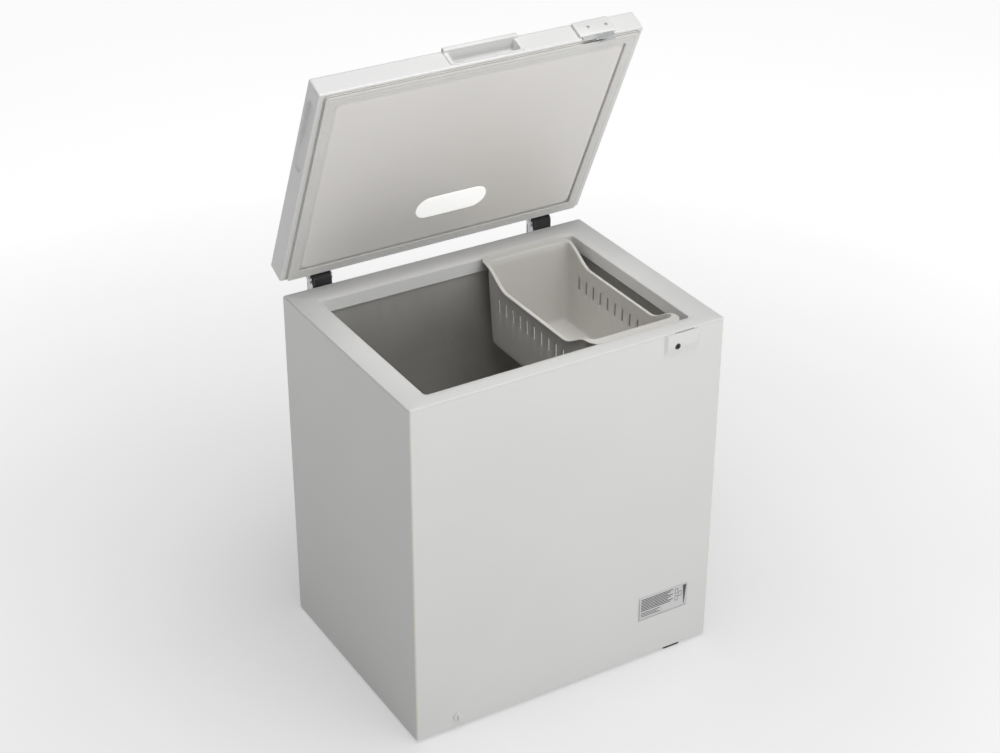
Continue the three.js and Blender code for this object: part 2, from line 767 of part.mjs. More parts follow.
const pipeY = bay.back - 30;
{
  const x = bay.left + 16;
  const y = engine.y + compressorRadius + 24;
  cabinet.add(piece('filter_drier', turned([
    [0, 0], [3, 2], [3, 8], [9, 16], [9, 88], [3, 96], [3, 104], [0, 106],
  ], x, y, trayTop + 20, 16), 'copper'));

  const canTop = engine.z + compressorHeight * 0.72;
  const suction = [
    [engine.x - compressorRadius - 4, engine.y, canTop],
    [engine.x - compressorRadius - 12, engine.y, canTop],
    [engine.x - compressorRadius - 12, pipeY, canTop],
    [engine.x - compressorRadius - 12, pipeY, canTop + 60],
  ];
  cabinet.add(piece('suction_tube', pipe(suction, tubeRadius, 12), 'copper'));
  const discharge = [
    [engine.x + compressorRadius + 4, engine.y, canTop],
    [engine.x + compressorRadius + 12, engine.y, canTop],
    [engine.x + compressorRadius + 12, pipeY, canTop],
    [engine.x + compressorRadius + 12, pipeY, canTop + 60],
  ];
  cabinet.add(piece('discharge_tube', pipe(discharge, hotTubeRadius, 12), 'copper'));
}

// ---- Rear grille with the temperature control and the mains gland ---------------------

const grille = {
  left: service.left - 10, right: service.right + 10, low: service.low - 10,
  high: service.high + 10, front: halfDepth + clearance, back: halfDepth + clearance + 2,
};
const control = { x: service.right - 34, z: service.high - 34, radius: 17, shaft: 3 };
const gland = { x: service.left + 18, z: service.low + 16, radius: 6 };
{
  const vent = { count: 8, inset: 12, low: 40, pitch: 12, high: 6 };
  const slots = Array.from({ length: vent.count }, (_, i) => {
    const z = service.low + vent.low + i * vent.pitch;
    return box(service.left + vent.inset, service.right - vent.inset, halfDepth - 5,
      halfDepth + 9, z, z + vent.high);
  });
  const cover = cut(
    roundedBlockUpright(grille, 6),
    ...slots,
    cylinder('y', control.shaft + 0.5, halfDepth - 5, halfDepth + 9, control.x, control.z),
    cylinder('y', gland.radius + clearance, halfDepth - 5, halfDepth + 9, gland.x, gland.z),
  );
  cabinet.add(piece('rear_grille', cover, 'black'));

  const bodyBack = halfDepth - clearance;
  cabinet.add(piece('thermostat_body', cut(
    box(control.x - 20, control.x + 20, bodyBack - 34, bodyBack, control.z - 16, control.z + 16),
    cylinder('y', control.shaft + 0.5, bodyBack - 16, bodyBack + 5, control.x, control.z),
  ), 'plastic'));

  const knob = join(
    cylinder('y', control.radius, grille.back + 0.5, grille.back + 13, control.x, control.z),
    cylinder('y', control.shaft, bodyBack - 12, grille.back + 2, control.x, control.z),
    box(control.x - 2.5, control.x + 2.5, grille.back + 10, grille.back + 16,
      control.z - control.radius + 2, control.z + control.radius - 2),
  );
  cabinet.add(piece('thermostat_knob', knob, 'plastic'));

  const bush = cut(
    join(
      cylinder('y', gland.radius, halfDepth - 8, grille.back + 3, gland.x, gland.z),
      cylinder('y', gland.radius + 3, grille.back + clearance, grille.back + 4, gland.x, gland.z),
    ),
    cylinder('y', 3.6, halfDepth - 20, grille.back + 20, gland.x, gland.z),
  );
  cabinet.add(piece('mains_gland', bush, 'black'));
}

function roundedBlockUpright(place, radius) {
  const outline = roundedOutline(place.left, place.right, place.low, place.high, radius);
  return endways(outline, place.front, place.back, 3);
}

// ---- Basket hung across the tub at the right ------------------------------------------

{
  const high = top - basketBelowRim;
  const low = high - basketHeight;
  const front = open.front + basketEnd;
  const back = open.back - basketEnd;
  const x0 = basketLeft;
  const x1 = basketLeft + basketWidth;
  // Side view of the basket: level ends, then a long shallow dip.
  const dip = (inset, lift) => {
    const outline = new THREE.Shape();
    const f = front + inset;
    const b = back - inset;
    const flat = basketEndFlat;
    const run = (b - f - 2 * flat) * basketDipRun;
    outline.moveTo(b, low + inset);
    outline.lineTo(b, high + lift);
    outline.lineTo(b - flat + inset, high + lift);
    outline.bezierCurveTo(b - flat - run * 0.5, high + lift, b - flat - run * 0.6,
      high + lift - basketScoop, b - flat - run * 2, high + lift - basketScoop);
    outline.lineTo(f + flat + run * 2, high + lift - basketScoop);
    outline.bezierCurveTo(f + flat + run * 0.6, high + lift - basketScoop,
      f + flat + run * 0.5, high + lift, f + flat - inset, high + lift);
    outline.lineTo(f, high + lift);
    outline.lineTo(f, low + inset);
    return outline;
  };
  const w = basketWall;
  const lip = basketSideLip;
  const body = sideways(dip(0, 0), x0 + lip, x1 - lip, 6);
  const rimBand = cut(
    sideways(dip(0, 0), x0, x1, 6),
    sideways(dip(-1, -w), x0 - 1, x1 + 1, 6),
  );
  const inner = box(x0 + lip + w, x1 - lip - w, front + w, back - w, low + w, high + 20);
  const slotCount = Math.floor((back - front - slotFirst - slotLast) / slotPitch) + 1;
  const slots = Array.from({ length: slotCount }, (_, i) => {
    const y = back - slotFirst - i * slotPitch;
    return box(x0 - 5, x1 + 5, y - slotWidth / 2, y + slotWidth / 2,
      high - slotBelowTop - slotHeight, high - slotBelowTop);
  });
  // A lip along each end lies on the rim's slope and carries the basket.
  const slopeLow = top - rimSlopeDrop + 0.5 + clearance + 0.1;
  const lipRise = (basketLip * rimSlopeDrop) / rimSlopeWidth;
  const lips = [[front, open.front, -1], [back, open.back, 1]].map(([end, edge, way]) => {
    const points = [
      [end - way * w, high - 3], [end, slopeLow - 0.5], [edge, slopeLow],
      [edge + way * basketLip, slopeLow + lipRise],
      [edge + way * basketLip, slopeLow + lipRise + basketLipSheet],
      [edge, slopeLow + basketLipSheet], [end - way * w, high],
    ];
    return sideways(polygon(way > 0 ? points : points.reverse()), x0 + lip, x1 - lip);
  });
  const whole = join(cut(join(body, rimBand), inner, ...slots), ...lips);
  const geometry = toGeometry(whole);
  const place = geometry.attributes.position;
  const middleX = (x0 + x1) / 2;
  const middleY = (front + back) / 2;
  for (let i = 0; i < place.count; i += 1) {
    const shrink = 1 - (basketTaper * Math.max(high - basketScoop - place.getZ(i), 0)) / basketHeight;
    place.setX(i, middleX + (place.getX(i) - middleX) * shrink);
    place.setY(i, middleY + (place.getY(i) - middleY) * shrink);
  }
  cabinet.add(piece('basket', geometry, 'plastic'));
}

// ---- Lid, drawn shut, then turned open about the hinge pins ---------------------------

const grip = {
  left: handleX - handleWidth / 2, right: handleX + handleWidth / 2,
  low: lidLow + handleLow, high: lidLow + handleHigh,
};
const recess = {
  front: lidFront + recessFront,
  back: lidFront + recessFront + recessLength,
  low: lidLow + recessLow,
  high: lidLow + recessLow + recessHeight,
};
function recessBlock(side, depth, grow) {
  const outline = roundedOutline(recess.front - grow, recess.back + grow, recess.low - grow,
    recess.high + grow, recessHeight / 2 + grow - 0.01);
  const face = side * lidHalf;
  const deep = side * (lidHalf - depth);
  return sideways(outline, Math.min(face + side, deep), Math.max(face + side, deep), 3);
}
const panelEdge = {
  x: lidHalf - lidFlangeSide - 0.5,
  front: lidFront + lidFlangeFront + 0.5,
  back: lidBack - lidFlangeBack - 0.5,
};
const raised = {
  x: panelEdge.x - gasketWidth - panelGroove,
  front: panelEdge.front + gasketWidth + panelGroove,
  back: panelEdge.back - gasketWidth - panelGroove,
};
const lamp = { y: lidBack - lampFromBack };
const latchY = tongueY;
const screwsAt = [[242, 23], [283, 21]];
const screwShank = 1.6;
const screwHead = 3.2;
const screwHeadHigh = 1.6;
const cornerScrew = { x: lidHalf - 8.5, y: lidFront + 12, head: 2.6, high: 1.5 };

{
  const w = lidWall;
  const shellOut = roundedBlock(-lidHalf, lidHalf, lidFront, lidBack, lidLow, lidHigh, lidEdgeRadius);
  const hollow = box(-lidHalf + w, lidHalf - w, lidFront + w, lidBack - w, lidLow + w, lidHigh - w);
  const mouth = box(-panelEdge.x - 0.5, panelEdge.x + 0.5, panelEdge.front - 0.5,
    panelEdge.back + 0.5, lidLow - 5, lidLow + 5);
  const gripHole = box(grip.left - handleWall - clearance, grip.right + handleWall + clearance,
    lidFront - 5, lidFront + 5, grip.low - handleWall - clearance, grip.high + handleWall + clearance);
  const bosses = [-1, 1].map((side) => recessBlock(side, recessDepth + w, w));
  const dents = [-1, 1].map((side) => recessBlock(side, recessDepth, 0));
  const trimmed = bosses.map((boss) => boss.intersect(shellOut));
  const cover = cut(join(cut(shellOut, hollow, mouth), ...trimmed), ...dents, gripHole);
  const holes = screwsAt.map(([x, up]) => cylinder('y', screwShank + clearance, lidFront - 5,
    lidFront + 5, x, lidLow + up, 12));
  const cornerHole = cylinder('z', screwShank + clearance, lidLow - 5, lidLow + 5,
    cornerScrew.x, cornerScrew.y, 12);
  lid.add(piece('lid_cover', cut(cover, ...holes, cornerHole), 'paint'));

  // The screw stands in the flange's front right corner and goes into the foam.
  const screw = join(
    cylinder('z', cornerScrew.head, lidLow - cornerScrew.high, lidLow - clearance,
      cornerScrew.x, cornerScrew.y, 16),
    cylinder('z', screwShank, lidLow - 1, lidLow + 12, cornerScrew.x, cornerScrew.y, 12),
  );
  lid.add(piece('lid_corner_screw', screw, 'steel'));
}

{
  const w = lidWall + clearance;
  const gripRoom = box(grip.left - handleWall - 0.6, grip.right + handleWall + 0.6, lidFront - 5,
    lidFront + handleDepth + handleWall + 0.6, grip.low - handleWall - 0.6,
    grip.high + handleWall + 0.6);
  const recessRoom = [-1, 1].map((side) => recessBlock(side, recessDepth + w, w));
  const lampRoom = box(lampX - lampWidth / 2 - 5, lampX + lampWidth / 2 + 5,
    lamp.y - lampHeight / 2 - 5, lamp.y + lampHeight / 2 + 5, lidLow - 5, lidLow + lampDepth + 3);
  const screwRoom = screwsAt.map(([x, up]) => box(x - 4, x + 4, lidFront, lidFront + 14,
    lidLow + up - 4, lidLow + up + 4));
  const cornerRoom = box(cornerScrew.x - 4, cornerScrew.x + 4, cornerScrew.y - 4,
    cornerScrew.y + 4, lidLow, lidLow + 14);
  const inset = panelSheet + clearance;
  const slab = cut(
    join(
      box(-lidHalf + w, lidHalf - w, lidFront + w, lidBack - w, lidLow + w, lidHigh - w),
      box(-panelEdge.x + 1, panelEdge.x - 1, panelEdge.front + 1, panelEdge.back - 1,
        lidLow + clearance, lidLow + w + 1),
      roundedBlock(-raised.x + inset, raised.x - inset, raised.front + inset,
        raised.back - inset, lidLow - panelDrop + clearance, lidLow + w, panelRadius - inset),
    ),
    gripRoom, ...recessRoom, lampRoom, ...screwRoom, cornerRoom,
  );
  lid.add(piece('lid_foam', slab, 'foam'));
}

const sealTop = lidLow - panelSheet - clearance;
function lampOutline(grow) {
  return roundedOutline(lampX - lampWidth / 2 - grow, lampX + lampWidth / 2 + grow,
    lamp.y - lampHeight / 2 - grow, lamp.y + lampHeight / 2 + grow, lampHeight / 2 + grow - 0.01);
}
{
  const plate = box(-panelEdge.x, panelEdge.x, panelEdge.front, panelEdge.back,
    lidLow - panelSheet, lidLow);
  const centre = roundedBlock(-raised.x, raised.x, raised.front, raised.back,
    lidLow - panelSheet - panelDrop, lidLow - clearance, panelRadius);
  const pressed = roundedBlock(-raised.x + panelSheet, raised.x - panelSheet,
    raised.front + panelSheet, raised.back - panelSheet, lidLow - panelDrop, lidLow + 5,
    panelRadius - panelSheet);
  const lampHole = upright(lampOutline(0), lidLow - 20, lidLow + 20, 4);
  lid.add(piece('lid_inner_panel', cut(join(plate, centre), pressed, lampHole), 'panel'));

  const sealLow = top + gasketCrush;
  const ring = cut(
    roundedBlock(-panelEdge.x, panelEdge.x, panelEdge.front, panelEdge.back, sealLow, sealTop, 5),
    roundedBlock(-panelEdge.x + gasketWidth, panelEdge.x - gasketWidth,
      panelEdge.front + gasketWidth, panelEdge.back - gasketWidth, sealLow - 5, sealTop + 5, 4),
  );
  lid.add(piece('lid_gasket', ring, 'seal'));
}

{
  const lens = upright(lampOutline(-0.5), lidLow - panelSheet - panelDrop - 1.2, lidLow + 1, 4);
  lid.add(piece('lamp_lens', lens, 'lens'));
  const low = lidLow + lidWall + clearance;
  const high = lidLow + lampDepth;
  const tray = cut(
    box(lampX - lampWidth / 2 - 4, lampX + lampWidth / 2 + 4, lamp.y - lampHeight / 2 - 4,
      lamp.y + lampHeight / 2 + 4, low, high),
    box(lampX - lampWidth / 2 - 2, lampX + lampWidth / 2 + 2, lamp.y - lampHeight / 2 - 2,
      lamp.y + lampHeight / 2 + 2, low - 5, high - 2),
  );
  lid.add(piece('lamp_tray', tray, 'plastic'));
  lid.add(piece('lamp_board', box(lampX - lampWidth / 2 + 8, lampX + lampWidth / 2 - 8,
    lamp.y - 14, lamp.y + 14, high - 4, high - 2 - clearance), 'board'));
}

{
  const face = lidFront - clearance;
  const plate = box(grip.left - handleRim, grip.right + handleRim, face - 1.6, face,
    grip.low - 4, lidHigh - 1);
  const cup = box(grip.left - handleWall, grip.right + handleWall, face - 1,
    lidFront + handleDepth + handleWall, grip.low - handleWall, grip.high + handleWall);
  const lip = sideways(polygon([
    [face, grip.high], [face, lidHigh + 1], [face - handleLip + 2, lidHigh + 1],
    [face - handleLip, lidHigh - 1], [face - handleLip, grip.high + 3], [face - 5, grip.high],
  ]), grip.left - handleRim, grip.right + handleRim);
  const hold = box(grip.left, grip.right, face - 20, lidFront + handleDepth, grip.low, grip.high);
  lid.add(piece('lid_handle', cut(join(plate, cup, lip), hold), 'plastic'));
}

// ---- Latch: chromed striker under a raised plastic cover ------------------------------

const latchFace = lidFront - clearance;
{
  const low = lidLow + 2;
  const high = low + latchHeight;
  const face = lidFront - latchBulge;
  const half = latchSheet / 2;
  const plateLeft = latchLeft + 5;
  const plateRight = latchRight - 10;
  const holes = screwsAt.map(([x, up]) => cylinder('y', screwShank + clearance, lidFront - 20,
    lidFront + 20, x, lidLow + up, 12));
  const room = box(plateLeft - 1, plateRight + 1, latchY - half - clearance, latchFace + 1,
    low - 5, lidLow + 32);
  const cover = cut(
    box(latchLeft, latchRight, face, latchFace, low, high), room, ...holes,
  );
  lid.add(piece('latch_cover', cover, 'plastic'));

  const slotHigh = lidLow - latchReach + 10;
  const striker = cut(
    join(
      box(plateLeft, plateRight, latchY - half, latchY + half, lidLow - 7.5, lidLow + 30),
      box(latchTongueLeft, latchTongueRight, latchY - half, latchY + half, lidLow - latchReach,
        lidLow),
    ),
    box(latchTongueLeft - 1, latchTongueLeft + 16, latchY - 5, latchY + 5, slotHigh - 5.5, slotHigh),
    ...holes,
  );
  lid.add(piece('latch_striker', striker, 'chrome'));

  screwsAt.forEach(([x, up], i) => {
    const z = lidLow + up;
    const screw = join(
      cylinder('y', screwHead, face - screwHeadHigh, face - clearance, x, z, 16),
      cylinder('y', screwShank, face - 1, lidFront + 12, x, z, 12),
    );
    lid.add(piece(`latch_screw_${i + 1}`, screw, 'steel'));
  });
}

// ---- Spring hinges --------------------------------------------------------------------

const seatTop = top - hingeBelow;
const plungerTop = pin.z - camRadius - clearance;
const toRadians = Math.PI / 180;
const camSlope = camRise / (openAngle * toRadians);
const pinHole = (pinRadius + runningFit) / Math.cos(Math.PI / round);

// The cam's distance to a flat plunger grows evenly with the lid's angle as the lid shuts.
function camOutline() {
  const points = [];
  for (let turn = -lidFurtherOpen; turn <= openAngle; turn += 8) {
    const reach = camRadius + camSlope * turn * toRadians;
    const angle = -Math.PI / 2 - turn * toRadians;
    const out = [Math.cos(angle), Math.sin(angle)];
    const along = [Math.sin(angle), -Math.cos(angle)];
    points.push([
      pin.y + out[0] * reach + along[0] * camSlope,
      pin.z + out[1] * reach + along[1] * camSlope,
    ]);
  }
  for (let back = openAngle + 40; back <= 360 - lidFurtherOpen - 30; back += 25) {
    const angle = -Math.PI / 2 - back * toRadians;
    const reach = pinRadius + 2.2;
    points.push([pin.y + Math.cos(angle) * reach, pin.z + Math.sin(angle) * reach]);
  }
  return polygon(points.reverse());
}

[['left', -1], ['right', 1]].forEach(([side, sign]) => {
  const middle = sign * hingeSpread;
  const half = hingeWidth / 2;
  const backPlate = halfDepth + clearance;
  const blockHalf = half - hingeSheet - clearance;

  const cheek = new THREE.Shape();
  cheek.moveTo(backPlate, seatTop - hingeSheet);
  cheek.lineTo(pin.y + 9, seatTop - hingeSheet);
  cheek.lineTo(pin.y + 9, pin.z);
  cheek.absarc(pin.y, pin.z, 9, 0, Math.PI * 0.75, false);
  cheek.lineTo(backPlate, top - 20);
  const base = cut(
    join(
      box(middle - half, middle + half, backPlate, backPlate + hingeSheet, seatTop - hingeSheet,
        top - 6),
      box(middle - half, middle + half, backPlate, pin.y + 9, seatTop - hingeSheet, seatTop),
      sideways(cheek, middle - half, middle - half + hingeSheet),
      sideways(cheek, middle + half - hingeSheet, middle + half),
    ),
    cylinder('x', pinHole, middle - half - 5, middle + half + 5, pin.y, pin.z),
  );
  cabinet.add(piece(`hinge_base_${side}`, base, 'steel'));

  const blockFront = backPlate + hingeSheet + clearance;
  const housing = new THREE.Shape();
  housing.moveTo(blockFront, seatTop + clearance);
  housing.lineTo(pin.y + blockRadius - 1, seatTop + clearance);
  housing.lineTo(pin.y + blockRadius, pin.z);
  housing.absarc(pin.y, pin.z, blockRadius, 0, Math.PI, false);
  const ribs = [150, 165, 180].map((degrees) => {
    const angle = degrees * toRadians;
    const y = pin.y + Math.cos(angle) * blockRadius;
    const z = pin.z + Math.sin(angle) * blockRadius;
    return box(middle - blockHalf + 3, middle + blockHalf - 3, y - 1.3, y + 1.3, z - 0.9, z + 0.9);
  });
  const block = cut(
    sideways(housing, middle - blockHalf, middle + blockHalf, 6),
    cylinder('z', plungerRadius + 0.7, seatTop - 5, pin.z - 4.8, middle, pin.y),
    cylinder('x', 13.2, middle - camWidth / 2 - 0.6, middle + camWidth / 2 + 0.6, pin.y, pin.z),
    cylinder('x', pinRadius + 0.4, middle - half, middle + half, pin.y, pin.z),
    ...ribs,
  );
  cabinet.add(piece(`hinge_block_${side}`, block, 'black'));

  const cap = turned([
    [0, -22], [4, -22], [5, -20], [5, -plungerCap], [plungerRadius, -plungerCap],
    [plungerRadius, 0], [0, 0],
  ], middle, pin.y, plungerTop);
  cabinet.add(piece(`hinge_plunger_${side}`, cap, 'plastic'));

  const springLow = seatTop + clearance * 2 + springWire;
  const springHigh = plungerTop - plungerCap - clearance * 2 - springWire;
  const helix = new (class extends THREE.Curve {
    getPoint(t) {
      const angle = t * springTurns * Math.PI * 2;
      return new THREE.Vector3(middle + Math.cos(angle) * 8.5, pin.y + Math.sin(angle) * 8.5,
        springLow + (springHigh - springLow) * t);
    }
  })();
  const wire = new THREE.Shape();
  wire.absarc(0, 0, springWire, 0, Math.PI * 2, false);
  cabinet.add(piece(`hinge_spring_${side}`, new THREE.ExtrudeGeometry(wire, {
    steps: springTurns * 8, curveSegments: 2.5, extrudePath: helix,
  }), 'steel'));

  const outerHalf = half + 0.5 + hingeSheet;
  const shaft = join(
    cylinder('x', pinRadius, middle - outerHalf - 1.5, middle + outerHalf + 1.5, pin.y, pin.z),
    sideways(camOutline(), middle - camWidth / 2, middle + camWidth / 2),
  );
  lid.add(piece(`hinge_pin_${side}`, shaft, 'steel'));

  const leafLow = lidLow + 8;
  const leafHigh = lidLow + 42;
  const leafFront = lidBack + clearance;
  const arm = new THREE.Shape();
  arm.moveTo(leafFront, leafLow);
  arm.lineTo(pin.y - 5, pin.z - 6);
  arm.absarc(pin.y, pin.z, 8, Math.PI * 1.3, Math.PI * 0.25, false);
  arm.lineTo(leafFront + hingeSheet + 4, leafHigh);
  arm.lineTo(leafFront, leafHigh);
  const leaf = cut(
    join(
      box(middle - outerHalf, middle + outerHalf, leafFront, leafFront + hingeSheet, leafLow + 6,
        leafHigh),
      sideways(arm, middle - outerHalf, middle - outerHalf + hingeSheet),
      sideways(arm, middle + outerHalf - hingeSheet, middle + outerHalf),
    ),
    cylinder('x', pinRadius + clearance, middle - outerHalf - 5, middle + outerHalf + 5, pin.y,
      pin.z),
  );
  lid.add(piece(`hinge_leaf_${side}`, leaf, 'steel'));
});

// ---- Put together ---------------------------------------------------------------------

lid.children.forEach((mesh) => mesh.geometry.translate(0, -pin.y, -pin.z));
lid.position.set(0, pin.y, pin.z);
lid.rotation.x = -openAngle * toRadians;

const freezer = new THREE.Group();
freezer.add(cabinet, lid);
freezer.updateMatrixWorld(true);

// The origin is on the floor, at the middle of the freezer as it stands with the lid open.
const extent = new THREE.Box3().setFromObject(freezer, true);
freezer.position.set(-(extent.min.x + extent.max.x) / 2, -(extent.min.y + extent.max.y) / 2,
  -extent.min.z);
freezer.updateMatrixWorld(true);

export default freezer;
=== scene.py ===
# Chest freezer with its lid open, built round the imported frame. Metres, +Z up, front towards -Y.

import json
from math import cos, pi, radians, sin, sqrt

import bmesh
import bpy
from mathutils import Matrix, Vector


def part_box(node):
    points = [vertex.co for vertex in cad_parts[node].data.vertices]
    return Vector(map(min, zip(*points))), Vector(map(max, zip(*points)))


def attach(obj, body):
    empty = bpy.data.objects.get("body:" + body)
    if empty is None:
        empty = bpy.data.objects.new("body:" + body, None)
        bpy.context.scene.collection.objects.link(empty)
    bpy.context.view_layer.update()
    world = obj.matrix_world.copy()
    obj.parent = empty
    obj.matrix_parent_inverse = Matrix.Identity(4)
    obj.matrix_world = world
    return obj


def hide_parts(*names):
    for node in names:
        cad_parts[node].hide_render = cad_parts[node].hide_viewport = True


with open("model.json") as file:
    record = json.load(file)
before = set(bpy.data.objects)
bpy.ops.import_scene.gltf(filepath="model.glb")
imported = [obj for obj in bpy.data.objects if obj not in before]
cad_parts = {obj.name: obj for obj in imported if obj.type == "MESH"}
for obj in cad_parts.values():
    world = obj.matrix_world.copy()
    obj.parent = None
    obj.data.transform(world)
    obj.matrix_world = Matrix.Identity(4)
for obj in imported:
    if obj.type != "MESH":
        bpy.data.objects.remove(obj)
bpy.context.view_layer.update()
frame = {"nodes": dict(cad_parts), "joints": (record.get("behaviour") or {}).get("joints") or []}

# ---- Studio -------------------------------------------------------------------------------
# A glowing white floor, one large soft light above the front right and one overhead, as for a
# shop picture of a white appliance. The camera looks down from the left.

LOOK_ROUND = radians(31.01)
LOOK_DOWN = radians(29.81)
LEAN = radians(0.16)
EYE = Vector((-1.8845, -3.1524, 2.7262))

ahead = Vector((sin(LOOK_ROUND) * cos(LOOK_DOWN), cos(LOOK_ROUND) * cos(LOOK_DOWN), -sin(LOOK_DOWN)))
level = ahead.cross(Vector((0, 0, 1))).normalized()
upward = level.cross(ahead)
side_axis = level * cos(LEAN) + upward * sin(LEAN)
up_axis = upward * cos(LEAN) - level * sin(LEAN)

camera = bpy.data.objects.new("camera", bpy.data.cameras.new("camera"))
camera.data.sensor_width = 36
camera.data.lens = 72.73
camera.matrix_world = Matrix.Translation(EYE) @ Matrix((side_axis, up_axis, -ahead)).transposed().to_4x4()
bpy.context.scene.collection.objects.link(camera)
bpy.context.scene.camera = camera


def hang_light(name, place, aim, size, power, colour):
    lamp = bpy.data.lights.new(name, "AREA")
    lamp.shape = "RECTANGLE"
    lamp.size, lamp.size_y = size
    lamp.energy = power
    lamp.color = colour
    holder = bpy.data.objects.new(name, lamp)
    holder.location = place
    holder.rotation_euler = (Vector(aim) - Vector(place)).to_track_quat("-Z", "Y").to_euler()
    bpy.context.scene.collection.objects.link(holder)


hang_light("key_light", (1.2, -4.6, 1.5), (0.0, 0.0, 0.8), (3.2, 2.0), 68, (1.0, 1.0, 0.995))
hang_light("top_light", (0.1, -0.9, 3.8), (0.0, 0.0, 0.8), (3.0, 2.4), 93, (1.0, 1.0, 1.0))

world = bpy.data.worlds.new("sky")
world.use_nodes = True
world.node_tree.nodes["Background"].inputs["Color"].default_value = (1.0, 1.0, 1.0, 1.0)
world.node_tree.nodes["Background"].inputs["Strength"].default_value = 0.08
bpy.context.scene.world = world
bpy.context.scene.view_settings.view_transform = "Standard"


def new_finish(name, colour, metal=0.0):
    """A principled finish, and the surface coordinates that all of its detail hangs on."""
    made = bpy.data.materials.new(name)
    made.use_nodes = True
    shader = made.node_tree.nodes["Principled BSDF"]
    shader.inputs["Base Color"].default_value = (*colour, 1.0)
    shader.inputs["Metallic"].default_value = metal
    made.node_tree.nodes.new("ShaderNodeTexCoord").name = "Place"
    return made


def add_noise(finish, scale, detail=4.0, stretch=(1.0, 1.0, 1.0)):
    """A noise over the surface, drawn out along the axes where stretch is small."""
    nodes, links = finish.node_tree.nodes, finish.node_tree.links
    turn = nodes.new("ShaderNodeMapping")
    turn.inputs["Scale"].default_value = stretch
    noise = nodes.new("ShaderNodeTexNoise")
    noise.inputs["Scale"].default_value = scale
    noise.inputs["Detail"].default_value = detail
    links.new(nodes["Place"].outputs["Object"], turn.inputs["Vector"])
    links.new(turn.outputs["Vector"], noise.inputs["Vector"])
    return noise.outputs["Fac"]


def tint(finish, pattern, low, high, start=0.35, end=0.65):
    """Colour drifts from low to high with the pattern."""
    nodes, links = finish.node_tree.nodes, finish.node_tree.links
    ramp = nodes.new("ShaderNodeValToRGB")
    ramp.color_ramp.elements[0].position = start
    ramp.color_ramp.elements[0].color = (*low, 1.0)
    ramp.color_ramp.elements[1].position = end
    ramp.color_ramp.elements[1].color = (*high, 1.0)
    links.new(pattern, ramp.inputs["Fac"])
    links.new(ramp.outputs["Color"], finish.node_tree.nodes["Principled BSDF"].inputs["Base Color"])
    return ramp.outputs["Color"]


def sheen(finish, pattern, smooth, rough):
    """Roughness drifts between two values with the pattern."""
    nodes, links = finish.node_tree.nodes, finish.node_tree.links
    spread = nodes.new("ShaderNodeMapRange")
    spread.inputs["From Min"].default_value = 0.3
    spread.inputs["From Max"].default_value = 0.7
    spread.inputs["To Min"].default_value = smooth
    spread.inputs["To Max"].default_value = rough
    links.new(pattern, spread.inputs["Value"])
    links.new(spread.outputs["Result"], nodes["Principled BSDF"].inputs["Roughness"])


def relief(finish, pattern, height, strength=1.0):
    """Fine relief of the given height, in metres, on top of any relief already there."""
    nodes, links = finish.node_tree.nodes, finish.node_tree.links
    bump = nodes.new("ShaderNodeBump")
    bump.inputs["Distance"].default_value = height
    bump.inputs["Strength"].default_value = strength
    links.new(pattern, bump.inputs["Height"])
    normal = nodes["Principled BSDF"].inputs["Normal"]
    if normal.links:
        links.new(normal.links[0].from_socket, bump.inputs["Normal"])
    links.new(bump.outputs["Normal"], normal)


def edge_wear_and_shade(finish, colour_in, edge_tone, amount=0.6):
    """Sharp outer edges take the edge tone, lighter or darker: wear on most finishes, painted shade on the
    seal. The pattern is how far the surface bends outwards.
    """
    nodes, links = finish.node_tree.nodes, finish.node_tree.links
    bend = nodes.new("ShaderNodeNewGeometry")
    reach = nodes.new("ShaderNodeMapRange")
    reach.inputs["From Min"].default_value = 0.53
    reach.inputs["From Max"].default_value = 0.62
    reach.inputs["To Max"].default_value = amount
    mix = nodes.new("ShaderNodeMix")
    mix.data_type = "RGBA"
    links.new(bend.outputs["Pointiness"], reach.inputs["Value"])
    links.new(reach.outputs["Result"], mix.inputs["Factor"])
    links.new(colour_in, mix.inputs["A"])
    mix.inputs["B"].default_value = (*edge_tone, 1.0)
    links.new(mix.outputs["Result"], nodes["Principled BSDF"].inputs["Base Color"])


def floor_finish():
    made = new_finish("studio_floor", (0.40, 0.40, 0.40))
    cloud = add_noise(made, 1.5, 3.0)
    tint(made, cloud, (0.39, 0.39, 0.39), (0.41, 0.41, 0.41))
    nodes, links = made.node_tree.nodes, made.node_tree.links
    shader = nodes["Principled BSDF"]
    shader.inputs["Emission Color"].default_value = (1.0, 1.0, 1.0, 1.0)
    pool = nodes.new("ShaderNodeTexGradient")
    pool.gradient_type = "SPHERICAL"
    reach = nodes.new("ShaderNodeMapping")
    reach.inputs["Scale"].default_value = (0.4, 0.4, 0.4)
    links.new(nodes["Place"].outputs["Object"], reach.inputs["Vector"])
    links.new(reach.outputs["Vector"], pool.inputs["Vector"])
    glow = nodes.new("ShaderNodeMapRange")
    glow.inputs["To Min"].default_value = 0.88
    glow.inputs["To Max"].default_value = 0.36
    links.new(pool.outputs["Fac"], glow.inputs["Value"])
    links.new(glow.outputs["Result"], shader.inputs["Emission Strength"])
    sheen(made, cloud, 0.75, 0.85)
    relief(made, add_noise(made, 400.0, 2.0), 0.0002, 0.3)
    return made


bpy.ops.mesh.primitive_plane_add(size=30, location=(0, 0, 0))
floor = bpy.context.object
floor.name = "studio_floor"
floor.data.materials.append(floor_finish())

# ---- Outer shell --------------------------------------------------------------------------
# One sheet of 1 mm steel folded round the left side, the front and the right side, with tight
# bends at the two front corners. It is powder coated white before the foam is poured behind it.

SHEET = 0.001
CORNER_BEND = 0.005
ARC_STEPS = 6


